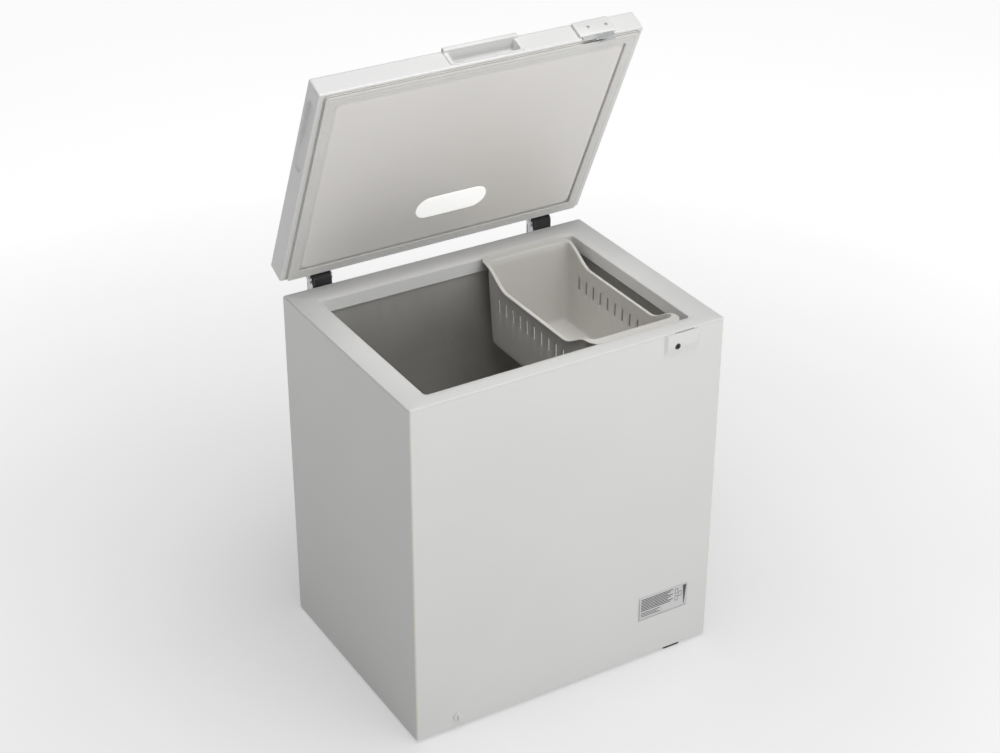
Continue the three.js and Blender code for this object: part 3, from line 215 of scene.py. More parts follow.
def paint_finish():
    made = new_finish("white_paint", (0.70, 0.70, 0.695))
    cloud = add_noise(made, 2.2, 3.0)
    colour = tint(made, cloud, (0.685, 0.686, 0.683), (0.715, 0.715, 0.71), 0.3, 0.7)
    # Sharp edges and bends are drawn a little darker.
    edge_wear_and_shade(made, colour, (0.62, 0.615, 0.60), 0.35)
    sheen(made, add_noise(made, 9.0, 5.0), 0.30, 0.40)
    relief(made, add_noise(made, 420.0, 2.0), 0.00012, 0.35)
    relief(made, add_noise(made, 6.0, 1.0), 0.0012, 0.10)
    made.node_tree.nodes["Principled BSDF"].inputs["Coat Weight"].default_value = 0.15
    return made


def arc(centre, radius, start, end, steps=ARC_STEPS):
    """Points on an arc, angles in degrees."""
    turns = [radians(start + (end - start) * i / steps) for i in range(steps + 1)]
    return [(centre[0] + radius * cos(t), centre[1] + radius * sin(t)) for t in turns]


def new_piece(name, shape, finish):
    """Makes an object of a bmesh, with its faces pointing out and one finish."""
    bmesh.ops.recalc_face_normals(shape, faces=shape.faces)
    mesh = bpy.data.meshes.new(name)
    shape.to_mesh(mesh)
    shape.free()
    piece = bpy.data.objects.new(name, mesh)
    bpy.context.scene.collection.objects.link(piece)
    mesh.materials.append(finish)
    return piece


def skin_rings(shape, rings, closed=False, cap_first=False, cap_last=False):
    """Joins rings of points, each with the same count, by rows of faces."""
    rows = [[shape.verts.new(point) for point in ring] for ring in rings]
    pairs = list(zip(rows, rows[1:])) + ([(rows[-1], rows[0])] if closed else [])
    for low, high in pairs:
        for i in range(len(low)):
            j = (i + 1) % len(low)
            shape.faces.new((low[i], low[j], high[j], high[i]))
    if cap_first:
        shape.faces.new(list(reversed(rows[0])))
    if cap_last:
        shape.faces.new(rows[-1])


def smooth(piece, angle=32.0):
    """Shades a piece smooth, with an edge kept wherever two faces meet above the angle."""
    mesh = piece.data
    mesh.polygons.foreach_set("use_smooth", [True] * len(mesh.polygons))
    mesh.set_sharp_from_angle(angle=radians(angle))
    return piece


def round_edges(piece, width, steps=2, angle=35.0):
    """Rounds every edge above the angle, as a press or a mould leaves it."""
    bevel = piece.modifiers.new("rounded", "BEVEL")
    bevel.width = width
    bevel.segments = steps
    bevel.limit_method = "ANGLE"
    bevel.angle_limit = radians(angle)
    bevel.harden_normals = True
    return apply_changes(piece)


def apply_changes(piece):
    """Turns a piece's modifiers into its mesh."""
    bpy.context.view_layer.update()
    solid = piece.evaluated_get(bpy.context.evaluated_depsgraph_get())
    mesh = bpy.data.meshes.new_from_object(solid)
    piece.modifiers.clear()
    piece.data = mesh
    return piece


def combine(piece, others, how):
    """Cuts the others out of a piece, or joins them to it, and removes them."""
    for other in others:
        step = piece.modifiers.new("step", "BOOLEAN")
        step.operation = how
        step.solver = "EXACT"
        step.object = other
        apply_changes(piece)
        bpy.data.objects.remove(other)
    return piece


def block(name, low, high, finish, radius=0.0, steps=3):
    """A block between two corners, every edge rounded."""
    shape = bmesh.new()
    bmesh.ops.create_cube(shape, size=1.0)
    middle = (Vector(low) + Vector(high)) / 2
    for point in shape.verts:
        span = Vector(high) - Vector(low)
        point.co = Vector(p * s for p, s in zip(point.co, span)) + middle
    if radius:
        bmesh.ops.bevel(shape, geom=shape.edges[:], offset=radius, segments=steps, affect="EDGES",
                        profile=0.5)
    return new_piece(name, shape, finish)


def turned(name, profile, place, axis, finish, sides=48):
    """A turned piece from (radius, along) points, its axis along x, y or z through the place."""
    shape = bmesh.new()
    turns = [2 * pi * i / sides for i in range(sides)]
    spin = {"x": lambda a, b, c: (c, a, b), "y": lambda a, b, c: (a, c, b), "z": lambda a, b, c: (a, b, c)}
    rings = []
    for radius, along in profile:
        ring = [spin[axis](radius * cos(t), radius * sin(t), along) for t in turns]
        rings.append([Vector(point) + Vector(place) for point in ring])
    skin_rings(shape, rings, cap_first=True, cap_last=True)
    return smooth(new_piece(name, shape, finish))


white_paint = paint_finish()
low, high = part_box("outer_shell")
barrel_low, barrel_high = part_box("lock_barrel")
barrel = (barrel_low + barrel_high) / 2
outlet_low, outlet_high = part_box("outer_drain_plug")
outlet = (outlet_low + outlet_high) / 2

folded = []
for gap in (0.0, SHEET):
    x, front, back = high.x - gap, low.y + gap, high.y
    bend = CORNER_BEND - gap
    left = arc((-x + bend, front + bend), bend, 180, 270)
    right = arc((x - bend, front + bend), bend, 270, 360)
    folded.append([(-x, back)] + left + right + [(x, back)])
outline = folded[0] + list(reversed(folded[1]))
shape = bmesh.new()
skin_rings(shape, [[(x, y, z) for x, y in outline] for z in (low.z, high.z)], cap_first=True, cap_last=True)
outer_shell = new_piece("painted_shell", shape, white_paint)
holes = [
    turned("hole", [(0.0068, -0.02), (0.0068, 0.02)], (barrel.x, low.y, barrel.z), "y", white_paint),
    turned("hole", [(0.0083, -0.02), (0.0083, 0.02)], (outlet.x, low.y, outlet.z), "y", white_paint),
]
combine(outer_shell, holes, "DIFFERENCE")
smooth(outer_shell)
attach(outer_shell, "cabinet")
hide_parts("outer_shell")

# ---- Sheet parts behind and below ---------------------------------------------------------
# The back panel, base pan, compressor tray and the wall round the compressor are galvanised
# steel, cut, pierced and folded, then screwed or crimped to the shell.


def galvanised_finish():
    made = new_finish("galvanised_sheet", (0.55, 0.56, 0.57), 1.0)
    nodes, links = made.node_tree.nodes, made.node_tree.links
    flakes = nodes.new("ShaderNodeTexVoronoi")
    flakes.inputs["Scale"].default_value = 90.0
    links.new(nodes["Place"].outputs["Object"], flakes.inputs["Vector"])
    grey = nodes.new("ShaderNodeRGBToBW")
    links.new(flakes.outputs["Color"], grey.inputs["Color"])
    tint(made, grey.outputs["Val"], (0.46, 0.47, 0.48), (0.62, 0.63, 0.64), 0.1, 0.9)
    sheen(made, grey.outputs["Val"], 0.34, 0.52)
    relief(made, add_noise(made, 30.0, 6.0), 0.0004, 0.25)
    return made


def dress(nodes, finish):
    """Gives CAD nodes a finish in place of their plain one."""
    for node in nodes:
        mesh = frame["nodes"][node].data
        mesh.materials.clear()
        mesh.materials.append(finish)


galvanised = galvanised_finish()
dress(["back_panel", "base_pan", "compressor_tray", "bay_wall"], galvanised)

# ---- Inner tub ----------------------------------------------------------------------------
# A tub of thin aluminium sheet, folded and joined, with a step at the right over the
# compressor. The cooling tube is bonded round its outside and the foam holds it in place.

LINER_SHEET = 0.0012
LINER_FILLET = 0.0105


def liner_finish():
    made = new_finish("rolled_aluminium", (0.60, 0.595, 0.575), 0.55)
    cloud = add_noise(made, 3.0, 4.0)
    streak = add_noise(made, 60.0, 3.0, (1.0, 1.0, 0.04))
    colour = tint(made, cloud, (0.56, 0.555, 0.535), (0.64, 0.635, 0.615), 0.3, 0.7)
    edge_wear_and_shade(made, colour, (0.72, 0.72, 0.71), 0.4)
    sheen(made, streak, 0.36, 0.50)
    nodes, links = made.node_tree.nodes, made.node_tree.links
    pebble = nodes.new("ShaderNodeTexVoronoi")
    pebble.feature = "SMOOTH_F1"
    pebble.inputs["Scale"].default_value = 190.0
    links.new(nodes["Place"].outputs["Object"], pebble.inputs["Vector"])
    relief(made, pebble.outputs["Distance"], 0.0006, 0.35)
    relief(made, cloud, 0.0015, 0.15)
    return made


aluminium = liner_finish()
low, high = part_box("inner_liner")
low, high = low + Vector((LINER_SHEET,) * 3), high - Vector((LINER_SHEET, LINER_SHEET, 0))
bay_low, bay_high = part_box("bay_wall")
STEP_INSULATION = 0.050
step_left = bay_low.x - STEP_INSULATION
step_top = bay_high.z + STEP_INSULATION + LINER_SHEET

corners = [(low.x, low.z), (step_left, low.z), (step_left, step_top), (high.x, step_top),
           (high.x, high.z), (low.x, high.z)]
shape = bmesh.new()
skin_rings(shape, [[(x, y, z) for x, z in corners] for y in (low.y, high.y)], cap_first=True,
           cap_last=True)
rounded = [e for e in shape.edges if min(v.co.z for v in e.verts) < high.z - 0.001]
bmesh.ops.bevel(shape, geom=rounded, offset=LINER_FILLET, segments=4, affect="EDGES", profile=0.5)
mouth = [f for f in shape.faces if all(v.co.z > high.z - 0.0001 for v in f.verts)]
bmesh.ops.delete(shape, geom=mouth, context="FACES_ONLY")
inner_tub = new_piece("aluminium_tub", shape, aluminium)
wall = inner_tub.modifiers.new("sheet", "SOLIDIFY")
wall.thickness = LINER_SHEET
wall.offset = 1.0
apply_changes(inner_tub)
drain_low, drain_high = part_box("inner_drain_plug")
drain = (drain_low + drain_high) / 2
hole = turned("hole", [(0.008, -0.02), (0.008, 0.02)], (drain.x, drain.y, low.z), "z", aluminium)
combine(inner_tub, [hole], "DIFFERENCE")
smooth(inner_tub, 40.0)
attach(inner_tub, "cabinet")
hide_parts("inner_liner")

# ---- Foam, cooling tubes and drain elbow ----------------------------------------------------
# Poured polyurethane foam fills the walls and the lid. Copper tube is wound round the tub and
# laid behind the shell. The drain runs from the tub's floor to the front in a plastic elbow.


def foam_finish():
    made = new_finish("poured_foam", (0.82, 0.70, 0.42))
    cells = add_noise(made, 260.0, 5.0)
    tint(made, add_noise(made, 12.0, 4.0), (0.76, 0.64, 0.36), (0.87, 0.76, 0.49))
    sheen(made, cells, 0.85, 0.98)
    relief(made, cells, 0.0012, 0.8)
    return made


def copper_finish():
    made = new_finish("copper_tube", (0.72, 0.40, 0.26), 1.0)
    stain = add_noise(made, 24.0, 6.0)
    colour = tint(made, stain, (0.42, 0.24, 0.16), (0.80, 0.46, 0.31), 0.3, 0.6)
    edge_wear_and_shade(made, colour, (0.88, 0.58, 0.42), 0.4)
    sheen(made, stain, 0.26, 0.46)
    relief(made, add_noise(made, 300.0, 3.0), 0.0001, 0.5)
    return made


foam = foam_finish()
copper = copper_finish()
dress(["cabinet_foam", "lid_foam"], foam)
dress(["evaporator_coil", "condenser_coil", "filter_drier", "suction_tube", "discharge_tube"], copper)

# ---- Rim frame ------------------------------------------------------------------------------
# A white plastic frame clipped over the shell's top edge and the tub's mouth. It is moulded in
# one: flat top, a shallow slope into the tub, and a skirt with a rolled lower edge.

RIM_SLOPE = 0.013
RIM_DROP = 0.0027
SKIRT_SHEET = 0.0025
RIM_CORNER = 0.004
MOUTH_CORNER = 0.008


def plastic_finish(name, colour, drift, smooth_value, rough_value):
    """Moulded plastic: a faint drift of colour, flow marks in the sheen and a fine spark texture."""
    made = new_finish(name, colour)
    low_tone = tuple(c - drift for c in colour)
    high_tone = tuple(c + drift for c in colour)
    tone = tint(made, add_noise(made, 4.0, 4.0), low_tone, high_tone, 0.3, 0.7)
    edge_wear_and_shade(made, tone, tuple(min(c * 1.08, 0.9) for c in colour), 0.4)
    sheen(made, add_noise(made, 14.0, 5.0), smooth_value, rough_value)
    relief(made, add_noise(made, 900.0, 2.0), 0.00008, 0.5)
    relief(made, add_noise(made, 10.0, 2.0), 0.0006, 0.08)
    return made


def ring(x0, x1, y0, y1, corner, z, steps=6):
    """A rounded rectangle of points at one height."""
    points = arc((x1 - corner, y1 - corner), corner, 0, 90, steps)
    points += arc((x0 + corner, y1 - corner), corner, 90, 180, steps)
    points += arc((x0 + corner, y0 + corner), corner, 180, 270, steps)
    points += arc((x1 - corner, y0 + corner), corner, 270, 360, steps)
    return [(x, y, z) for x, y in points]


white_plastic = plastic_finish("white_plastic", (0.69, 0.69, 0.68), 0.012, 0.34, 0.46)
low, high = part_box("rim_frame")
tub_low, tub_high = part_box("inner_liner")
liner_gap = LINER_SHEET + SKIRT_SHEET + 0.0003
mouth = {
    "x": tub_high.x - liner_gap, "front": tub_low.y + liner_gap, "back": tub_high.y - liner_gap,
}


def rim_outer(inset, z):
    return ring(low.x + inset, high.x - inset, low.y + inset, high.y - inset, RIM_CORNER - inset, z)


def rim_inner(out, z):
    return ring(-mouth["x"] - out, mouth["x"] + out, mouth["front"] - out, mouth["back"] + out,
                MOUTH_CORNER + out, z)


top = high.z
under = top - 0.003
rings = [
    rim_outer(0.0001, under), rim_outer(0.0, under + 0.0004), rim_outer(0.0, top - 0.0016),
    rim_outer(0.0005, top - 0.0005), rim_outer(0.0018, top),
    rim_inner(RIM_SLOPE + 0.0015, top), rim_inner(RIM_SLOPE - 0.001, top - 0.0001),
    rim_inner(0.002, top - RIM_DROP + 0.0004), rim_inner(0.0006, top - RIM_DROP - 0.0003),
    rim_inner(0.0, top - RIM_DROP - 0.0016), rim_inner(0.0001, low.z + 0.0062),
    rim_inner(-0.0008, low.z + 0.0042), rim_inner(-0.0011, low.z + 0.0024),
    rim_inner(-0.0004, low.z + 0.0007), rim_inner(0.0009, low.z), rim_inner(0.0021, low.z + 0.0008),
    rim_inner(SKIRT_SHEET, low.z + 0.0025), rim_inner(SKIRT_SHEET, under - 0.0003),
]
shape = bmesh.new()
skin_rings(shape, rings, closed=True)
rim = smooth(new_piece("rim_moulding", shape, white_plastic), 50.0)
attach(rim, "cabinet")
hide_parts("rim_frame")

# ---- Lock -----------------------------------------------------------------------------------
# A moulded panel stands out from the shell under the rim and fades into it below. The key
# barrel turns in it, with a steel lever behind that swings its finger into the lid's striker.

LOCK_RISE = 0.0055
LOCK_FADE = 0.020
SLIT_HALF = 0.0016


def black_finish(name, colour, smooth_value, rough_value):
    made = new_finish(name, colour)
    grain = add_noise(made, 26.0, 5.0)
    tone = tint(made, grain, tuple(c * 0.7 for c in colour), tuple(c * 1.5 for c in colour))
    edge_wear_and_shade(made, tone, tuple(c * 2.6 for c in colour), 0.5)
    sheen(made, grain, smooth_value, rough_value)
    relief(made, add_noise(made, 700.0, 3.0), 0.00015, 0.6)
    return made


def steel_finish():
    made = new_finish("zinc_plated_steel", (0.52, 0.53, 0.54), 1.0)
    brush = add_noise(made, 160.0, 4.0, (1.0, 1.0, 0.08))
    tone = tint(made, add_noise(made, 30.0, 5.0), (0.44, 0.45, 0.46), (0.58, 0.59, 0.60))
    edge_wear_and_shade(made, tone, (0.74, 0.74, 0.73), 0.6)
    sheen(made, brush, 0.28, 0.46)
    relief(made, brush, 0.00006, 0.6)
    return made


def ease(value):
    """A smooth step from 0 to 1."""
    value = min(max(value, 0.0), 1.0)
    return value * value * (3 - 2 * value)


black_plastic = black_finish("black_plastic", (0.018, 0.018, 0.019), 0.38, 0.55)
steel = steel_finish()
low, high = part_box("lock_panel")
COLUMNS, ROWS = 44, 30
shape = bmesh.new()
face_rows = []
for r in range(ROWS + 1):
    z = low.z + (high.z - low.z) * r / ROWS
    row = []
    for c in range(COLUMNS + 1):
        x = low.x + (high.x - low.x) * c / COLUMNS
        edge = min(x - low.x, high.x - x)
        rise = LOCK_RISE * ease(edge / 0.006) * ease((z - low.z) / LOCK_FADE)
        row.append(shape.verts.new((x, high.y - 0.0003 - rise, z)))
    face_rows.append(row)
for below, above in zip(face_rows, face_rows[1:]):
    for c in range(COLUMNS):
        shape.faces.new((below[c], below[c + 1], above[c + 1], above[c]))
border = face_rows[0] + [row[-1] for row in face_rows[1:]]
border += list(reversed(face_rows[-1][:-1])) + [row[0] for row in reversed(face_rows[1:-1])]
flat = [shape.verts.new((point.co.x, high.y, point.co.z)) for point in border]
for i in range(len(border)):
    j = (i + 1) % len(border)
    shape.faces.new((border[j], border[i], flat[i], flat[j]))
shape.faces.new(flat)
lock_panel = new_piece("lock_escutcheon", shape, white_plastic)
striker_low, striker_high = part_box("latch_striker")
slit_x = 0.241, 0.287
slit_y = low.y + 0.0041
barrel_hole = turned("hole", [(0.0068, -0.02), (0.0068, 0.02)], (barrel.x, low.y, barrel.z), "y",
                     white_plastic)
slit = block("slit", (slit_x[0], slit_y - SLIT_HALF, high.z - 0.004),
             (slit_x[1], slit_y + SLIT_HALF, high.z + 0.004), white_plastic)
combine(lock_panel, [barrel_hole, slit], "DIFFERENCE")
smooth(lock_panel, 40.0)
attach(lock_panel, "cabinet")
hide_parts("lock_panel")

front = barrel_low.y
lock_barrel = turned("key_barrel", [
    (0.0052, front), (0.0060, front + 0.0002), (0.0065, front + 0.0008), (0.0065, barrel_high.y - 0.0004),
    (0.0061, barrel_high.y),
], (barrel.x, 0.0, barrel.z), "y", black_plastic)
key_way = block("key_way", (barrel.x - 0.0007, front - 0.001, barrel.z - 0.0034),
                (barrel.x + 0.0007, front + 0.006, barrel.z + 0.0034), black_plastic)
dimple = turned("dimple", [(0.0021, -0.004), (0.0021, 0.002)], (barrel.x, front + 0.001, barrel.z),
                "y", black_plastic, 24)
combine(lock_barrel, [key_way, dimple], "DIFFERENCE")
smooth(lock_barrel)
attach(lock_barrel, "lock")
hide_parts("lock_barrel")
dress(["lock_lever"], steel)

# ---- Data label -----------------------------------------------------------------------------
# A printed silver film stuck low on the front at the right. Its rows of print are plain bars
# here, with two small boxes and a tapering bar beside them.

PRINT_PROUD = 0.00006


def label_finish():
    made = new_finish("label_film", (0.60, 0.605, 0.60))
    cloud = add_noise(made, 30.0, 4.0, (1.0, 1.0, 0.2))
    tint(made, cloud, (0.575, 0.58, 0.575), (0.63, 0.635, 0.63))
    sheen(made, cloud, 0.28, 0.40)
    relief(made, add_noise(made, 500.0, 2.0), 0.00004, 0.4)
    return made


def ink_finish():
    made = new_finish("label_ink", (0.05, 0.05, 0.055))
    cloud = add_noise(made, 900.0, 3.0)
    tint(made, cloud, (0.035, 0.035, 0.04), (0.10, 0.10, 0.105))
    sheen(made, cloud, 0.35, 0.5)
    relief(made, cloud, 0.00003, 0.4)
    return made


label_film = label_finish()
label_ink = ink_finish()
low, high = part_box("data_label")
plate = block("label_plate", (low.x, low.y + 0.0001, low.z), (high.x, high.y, high.z), label_film)
round_edges(plate, 0.00012, 2)
smooth(plate)
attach(plate, "cabinet")
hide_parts("data_label")

wide, tall = high.x - low.x, high.z - low.z
# Each bar: left, bottom, right and top, as shares of the label.
bars = [(0.03, 0.035, 0.97, 0.050), (0.012, 0.03, 0.020, 0.97)]
bars += [(0.05, 0.88 - 0.068 * i, 0.70 - 0.05 * (i % 3), 0.918 - 0.068 * i) for i in range(8)]
bars += [(0.05, 0.30 - 0.07 * i, 0.44 - 0.06 * (i % 2), 0.33 - 0.07 * i) for i in range(3)]
for left, under in ((0.74, 0.66), (0.74, 0.36), (0.815, 0.51)):
    bars += [(left, under, left + 0.06, under + 0.02), (left, under + 0.20, left + 0.06, under + 0.22),
             (left, under + 0.02, left + 0.008, under + 0.20),
             (left + 0.052, under + 0.02, left + 0.06, under + 0.20)]
shape = bmesh.new()
face = low.y + 0.0001
outlines = [[(a, b), (c, b), (c, d), (a, d)] for a, b, c, d in bars]
outlines.append([(0.895, 0.94), (0.925, 0.10), (0.935, 0.10), (0.972, 0.94)])
for outline in outlines:
    spots = [(low.x + wide * a, low.z + tall * b) for a, b in outline]
    skin_rings(shape, [[(x, y, z) for x, z in spots] for y in (face - PRINT_PROUD, face)],
               cap_first=True, cap_last=True)
print_bars = new_piece("label_print", shape, label_ink)
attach(print_bars, "cabinet")

# ---- Feet -----------------------------------------------------------------------------------
# Four moulded black rubber pads, rectangular with a chamfered sole and a shallow groove round
# the side, screwed up into the base. The front right one stands almost flush with the front.


def rubber_finish(name, colour):
    made = new_finish(name, colour)
    dust = add_noise(made, 40.0, 6.0)
    tint(made, dust, tuple(c * 0.75 for c in colour), tuple(c * 1.45 for c in colour))
    sheen(made, dust, 0.62, 0.82)
    relief(made, add_noise(made, 600.0, 4.0), 0.0002, 0.6)
    return made


black_rubber = rubber_finish("black_rubber", (0.022, 0.022, 0.023))
FOOT_CORNER = 0.003
FOOT_CHAMFER = 0.002
FOOT_GROOVE = 0.0006
# Each ring: its height and how far it stands in from the pad's side.
FOOT_RINGS = [(0.0, FOOT_CHAMFER), (0.0005, FOOT_CHAMFER * 0.6), (FOOT_CHAMFER, 0.0002),
              (0.0036, 0.0), (0.0043, FOOT_GROOVE), (0.0050, 0.0)]
for corner in ("front_left", "front_right", "back_left", "back_right"):
    low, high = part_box(f"foot_{corner}")
    shape = bmesh.new()
    levels = FOOT_RINGS + [(high.z - 0.0004, 0.0), (high.z - 0.0001, 0.0004)]
    rings = [ring(low.x + inset, high.x - inset, low.y + inset, high.y - inset,
                  FOOT_CORNER, z, 4) for z, inset in levels]
    skin_rings(shape, rings, cap_first=True, cap_last=True)
    foot = new_piece(f"rubber_foot_{corner}", shape, black_rubber)
    smooth(foot, 35.0)
    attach(foot, "cabinet")
    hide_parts(f"foot_{corner}")

# ---- Drain plugs ----------------------------------------------------------------------------
# White plastic plugs close the drain: one in the tub's floor with a pull knob, and one on the
# front with a finger bar. Both are pushed in by hand and held by their own fit.

PLUG_PIN = 0.0077

inner_plug = turned("tub_drain_plug", [
    (0.0060, drain_low.z), (0.0069, drain_low.z + 0.0004), (PLUG_PIN, drain_low.z + 0.0022),
    (PLUG_PIN, drain_low.z + 0.0083), (0.0122, drain_low.z + 0.0083), (0.0129, drain_low.z + 0.0090),
    (0.0128, drain_low.z + 0.0100), (0.0118, drain_low.z + 0.0110), (0.0056, drain_low.z + 0.0113),
    (0.0042, drain_low.z + 0.0120), (0.0040, drain_high.z - 0.0024), (0.0034, drain_high.z - 0.0006),
    (0.0022, drain_high.z),
], (drain.x, drain.y, 0.0), "z", white_plastic)
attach(inner_plug, "inner_drain_plug")
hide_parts("inner_drain_plug")

shell_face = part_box("outer_shell")[0].y
face = shell_face - 0.0030
outer_plug = turned("front_drain_plug", [
    (0.0088, face), (0.0099, face + 0.0003), (0.0107, face + 0.0010), (0.0110, face + 0.0019),
    (0.0110, shell_face - 0.0003), (PLUG_PIN, shell_face - 0.0003), (PLUG_PIN, shell_face + 0.0085),
    (0.0070, outlet_high.y),
], (outlet.x, 0.0, outlet.z), "y", white_plastic)
grip_bar = block("grip_bar", (outlet.x - 0.0018, outlet_low.y, outlet.z - 0.0078),
                 (outlet.x + 0.0018, face + 0.0008, outlet.z + 0.0078), white_plastic, 0.0012)
combine(outer_plug, [grip_bar], "UNION")
smooth(outer_plug, 40.0)
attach(outer_plug, "outer_drain_plug")
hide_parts("outer_drain_plug")
dress(["drain_elbow"], white_plastic)

# ---- Compressor and its mounts ----------------------------------------------------------------
# A hermetic steel can of two drawn halves, seam welded and painted black, on a pressed foot. It
# sits on four rubber mounts in the bay, with its start relay clipped on behind.


def can_finish():
    made = new_finish("black_can_paint", (0.022, 0.022, 0.024))
    dust = add_noise(made, 14.0, 6.0)
    tone = tint(made, dust, (0.016, 0.016, 0.018), (0.045, 0.043, 0.04))
    edge_wear_and_shade(made, tone, (0.12, 0.12, 0.12), 0.5)
    sheen(made, dust, 0.22, 0.45)
    relief(made, add_noise(made, 180.0, 3.0), 0.0002, 0.4)
    return made


can_paint = can_finish()
low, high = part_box("compressor")
middle = (low + high) / 2
CAN_RADIUS = 0.062
CAN_SEAM = 0.0825
FOOT_SHEET = 0.004
can = turned("compressor_can", [
    (0.030, low.z + 0.003), (0.041, low.z + 0.0035), (0.056, low.z + 0.012), (0.0605, low.z + 0.022),
    (CAN_RADIUS, low.z + 0.032), (CAN_RADIUS, low.z + CAN_SEAM), (0.0645, low.z + CAN_SEAM + 0.0008),
    (0.0650, low.z + CAN_SEAM + 0.0024), (0.0650, low.z + CAN_SEAM + 0.0042),
    (0.0643, low.z + CAN_SEAM + 0.0056), (CAN_RADIUS, low.z + CAN_SEAM + 0.0066),
    (CAN_RADIUS, high.z - 0.036), (0.0600, high.z - 0.022), (0.0535, high.z - 0.010),
    (0.0400, high.z - 0.002), (0.0200, high.z),
], (middle.x, middle.y, 0.0), "z", can_paint, 64)
foot_plate = block("foot_plate", (low.x, low.y, low.z), (high.x, high.y, low.z + FOOT_SHEET), can_paint)
combine(can, [foot_plate], "UNION")
round_edges(can, 0.0006, 2, 60.0)
smooth(can, 40.0)
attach(can, "cabinet")
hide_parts("compressor")
dress(["grommet_front_left", "grommet_front_right", "grommet_back_left", "grommet_back_right"],
      black_rubber)
dress(["start_relay"], black_plastic)

# ---- Rear grille, temperature knob and mains gland --------------------------------------------
# A black plastic cover closes the compressor bay and lets air out through rows of slots. The
# thermostat's knob stands out of it, and a ribbed gland holds the mains lead's way in.

SLOT_COUNT = 8

low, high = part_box("rear_grille")
knob_low, knob_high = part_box("thermostat_knob")
knob = (knob_low + knob_high) / 2
gland_low, gland_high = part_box("mains_gland")
gland = (gland_low + gland_high) / 2


def upright_ring(x0, x1, z0, z1, corner, y, steps=6):
    """A rounded rectangle of points standing upright, at one depth."""
    return [(x, y, z) for x, z, _ in ring(x0, x1, z0, z1, corner, 0.0, steps)]


def plate_of(name, corners, depths, corner, finish, edge=0.0006):
    """An upright plate between two depths with rounded edges."""
    x0, x1, z0, z1 = corners
    y0, y1 = depths
    shape = bmesh.new()
    rings = [
        upright_ring(x0 + edge, x1 - edge, z0 + edge, z1 - edge, corner - edge, y0),
        upright_ring(x0, x1, z0, z1, corner, y0 + edge), upright_ring(x0, x1, z0, z1, corner, y1 - edge),
        upright_ring(x0 + edge, x1 - edge, z0 + edge, z1 - edge, corner - edge, y1),
    ]
    skin_rings(shape, rings, cap_first=True, cap_last=True)
    return new_piece(name, shape, finish)


grille = plate_of("rear_vent_cover", (low.x, high.x, low.z, high.z), (low.y, high.y), 0.006, black_plastic)
service_left, service_right, service_low = low.x + 0.010, high.x - 0.010, low.z + 0.010
cutters = []
for i in range(SLOT_COUNT):
    z = service_low + 0.040 + 0.012 * i
    cutters.append(plate_of("slot", (service_left + 0.012, service_right - 0.012, z, z + 0.006),
                            (low.y - 0.005, high.y + 0.005), 0.0029, black_plastic))
SPINDLE_HOLE = 0.0035
cutters.append(turned("hole", [(SPINDLE_HOLE, -0.02), (SPINDLE_HOLE, 0.02)],
                      (knob.x, low.y, knob.z), "y", black_plastic))
cutters.append(turned("hole", [(0.0063, -0.02), (0.0063, 0.02)], (gland.x, low.y, gland.z), "y",
                      black_plastic))
combine(grille, cutters, "DIFFERENCE")
smooth(grille, 40.0)
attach(grille, "cabinet")
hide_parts("rear_grille")

KNOB_RIBS = 18
knob_radius = (knob_high.x - knob_low.x) / 2
skirt_y = high.y + 0.0005
shape = bmesh.new()
rings = []
for depth, share in ((skirt_y, 1.0), (skirt_y + 0.0022, 1.0), (skirt_y + 0.0032, 0.90),
                     (skirt_y + 0.0105, 0.86), (skirt_y + 0.0122, 0.82), (skirt_y + 0.0126, 0.74)):
    ring_points = []
    for i in range(KNOB_RIBS * 6):
        turn = 2 * pi * i / (KNOB_RIBS * 6)
        ribbed = 1.0 + (0.022 * cos(turn * KNOB_RIBS) if 0.8 < share < 0.95 else 0.0)
        radius = knob_radius * share * ribbed
        ring_points.append((knob.x + radius * cos(turn), depth, knob.z + radius * sin(turn)))
    rings.append(ring_points)
skin_rings(shape, rings, cap_first=True, cap_last=True)
dial = new_piece("temperature_knob", shape, white_plastic)
shaft = turned("shaft", [(0.003, knob_low.y), (0.003, skirt_y + 0.001)], (knob.x, 0.0, knob.z), "y",
               white_plastic, 32)
pointer = block("pointer", (knob.x - 0.0022, skirt_y + 0.010, knob.z - knob_radius * 0.8),
                (knob.x + 0.0022, knob_high.y, knob.z + knob_radius * 0.8), white_plastic, 0.0012)
combine(dial, [shaft, pointer], "UNION")
smooth(dial, 40.0)
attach(dial, "thermostat_knob")
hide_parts("thermostat_knob")

wall_y = gland_low.y
bush = turned("cord_gland", [
    (0.0036, wall_y), (0.0052, wall_y), (0.0060, wall_y + 0.001), (0.0060, high.y + 0.0003),
    (0.0088, high.y + 0.0003), (0.0090, high.y + 0.0010), (0.0086, high.y + 0.0022),
    (0.0066, high.y + 0.0030), (0.0060, gland_high.y), (0.0040, gland_high.y),
    (0.0036, gland_high.y - 0.0006),
], (gland.x, 0.0, gland.z), "y", black_plastic)
bore = turned("bore", [(0.0036, -0.05), (0.0036, 0.05)], (gland.x, gland.y, gland.z), "y", black_plastic)
combine(bush, [bore], "DIFFERENCE")
smooth(bush, 40.0)
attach(bush, "cabinet")
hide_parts("mains_gland")
dress(["thermostat_body"], white_plastic)

# ---- Basket -----------------------------------------------------------------------------------
# A moulded white basket with slots down its long sides, which dip in the middle for the hand.
# Its top edge is folded out all round, and the ends hang on the rim's slope.

BASKET_WALL = 0.0022
BASKET_EDGE = 0.008
BASKET_CORNER = 0.016
BASKET_SCOOP = 0.036
DIP_RUN = 0.085
LEVEL_END = 0.004
LIP_REACH = 0.0255
LIP_SEAT = 0.0021
LIP_CLIMB = 0.0016
SLOT_PITCH = 0.0284
SLOT_WIDTH = 0.005
SLOT_BELOW_TOP = 0.0685
SLOT_HEIGHT = 0.029
FIRST_SLOT = 0.052
TAPER = 0.048

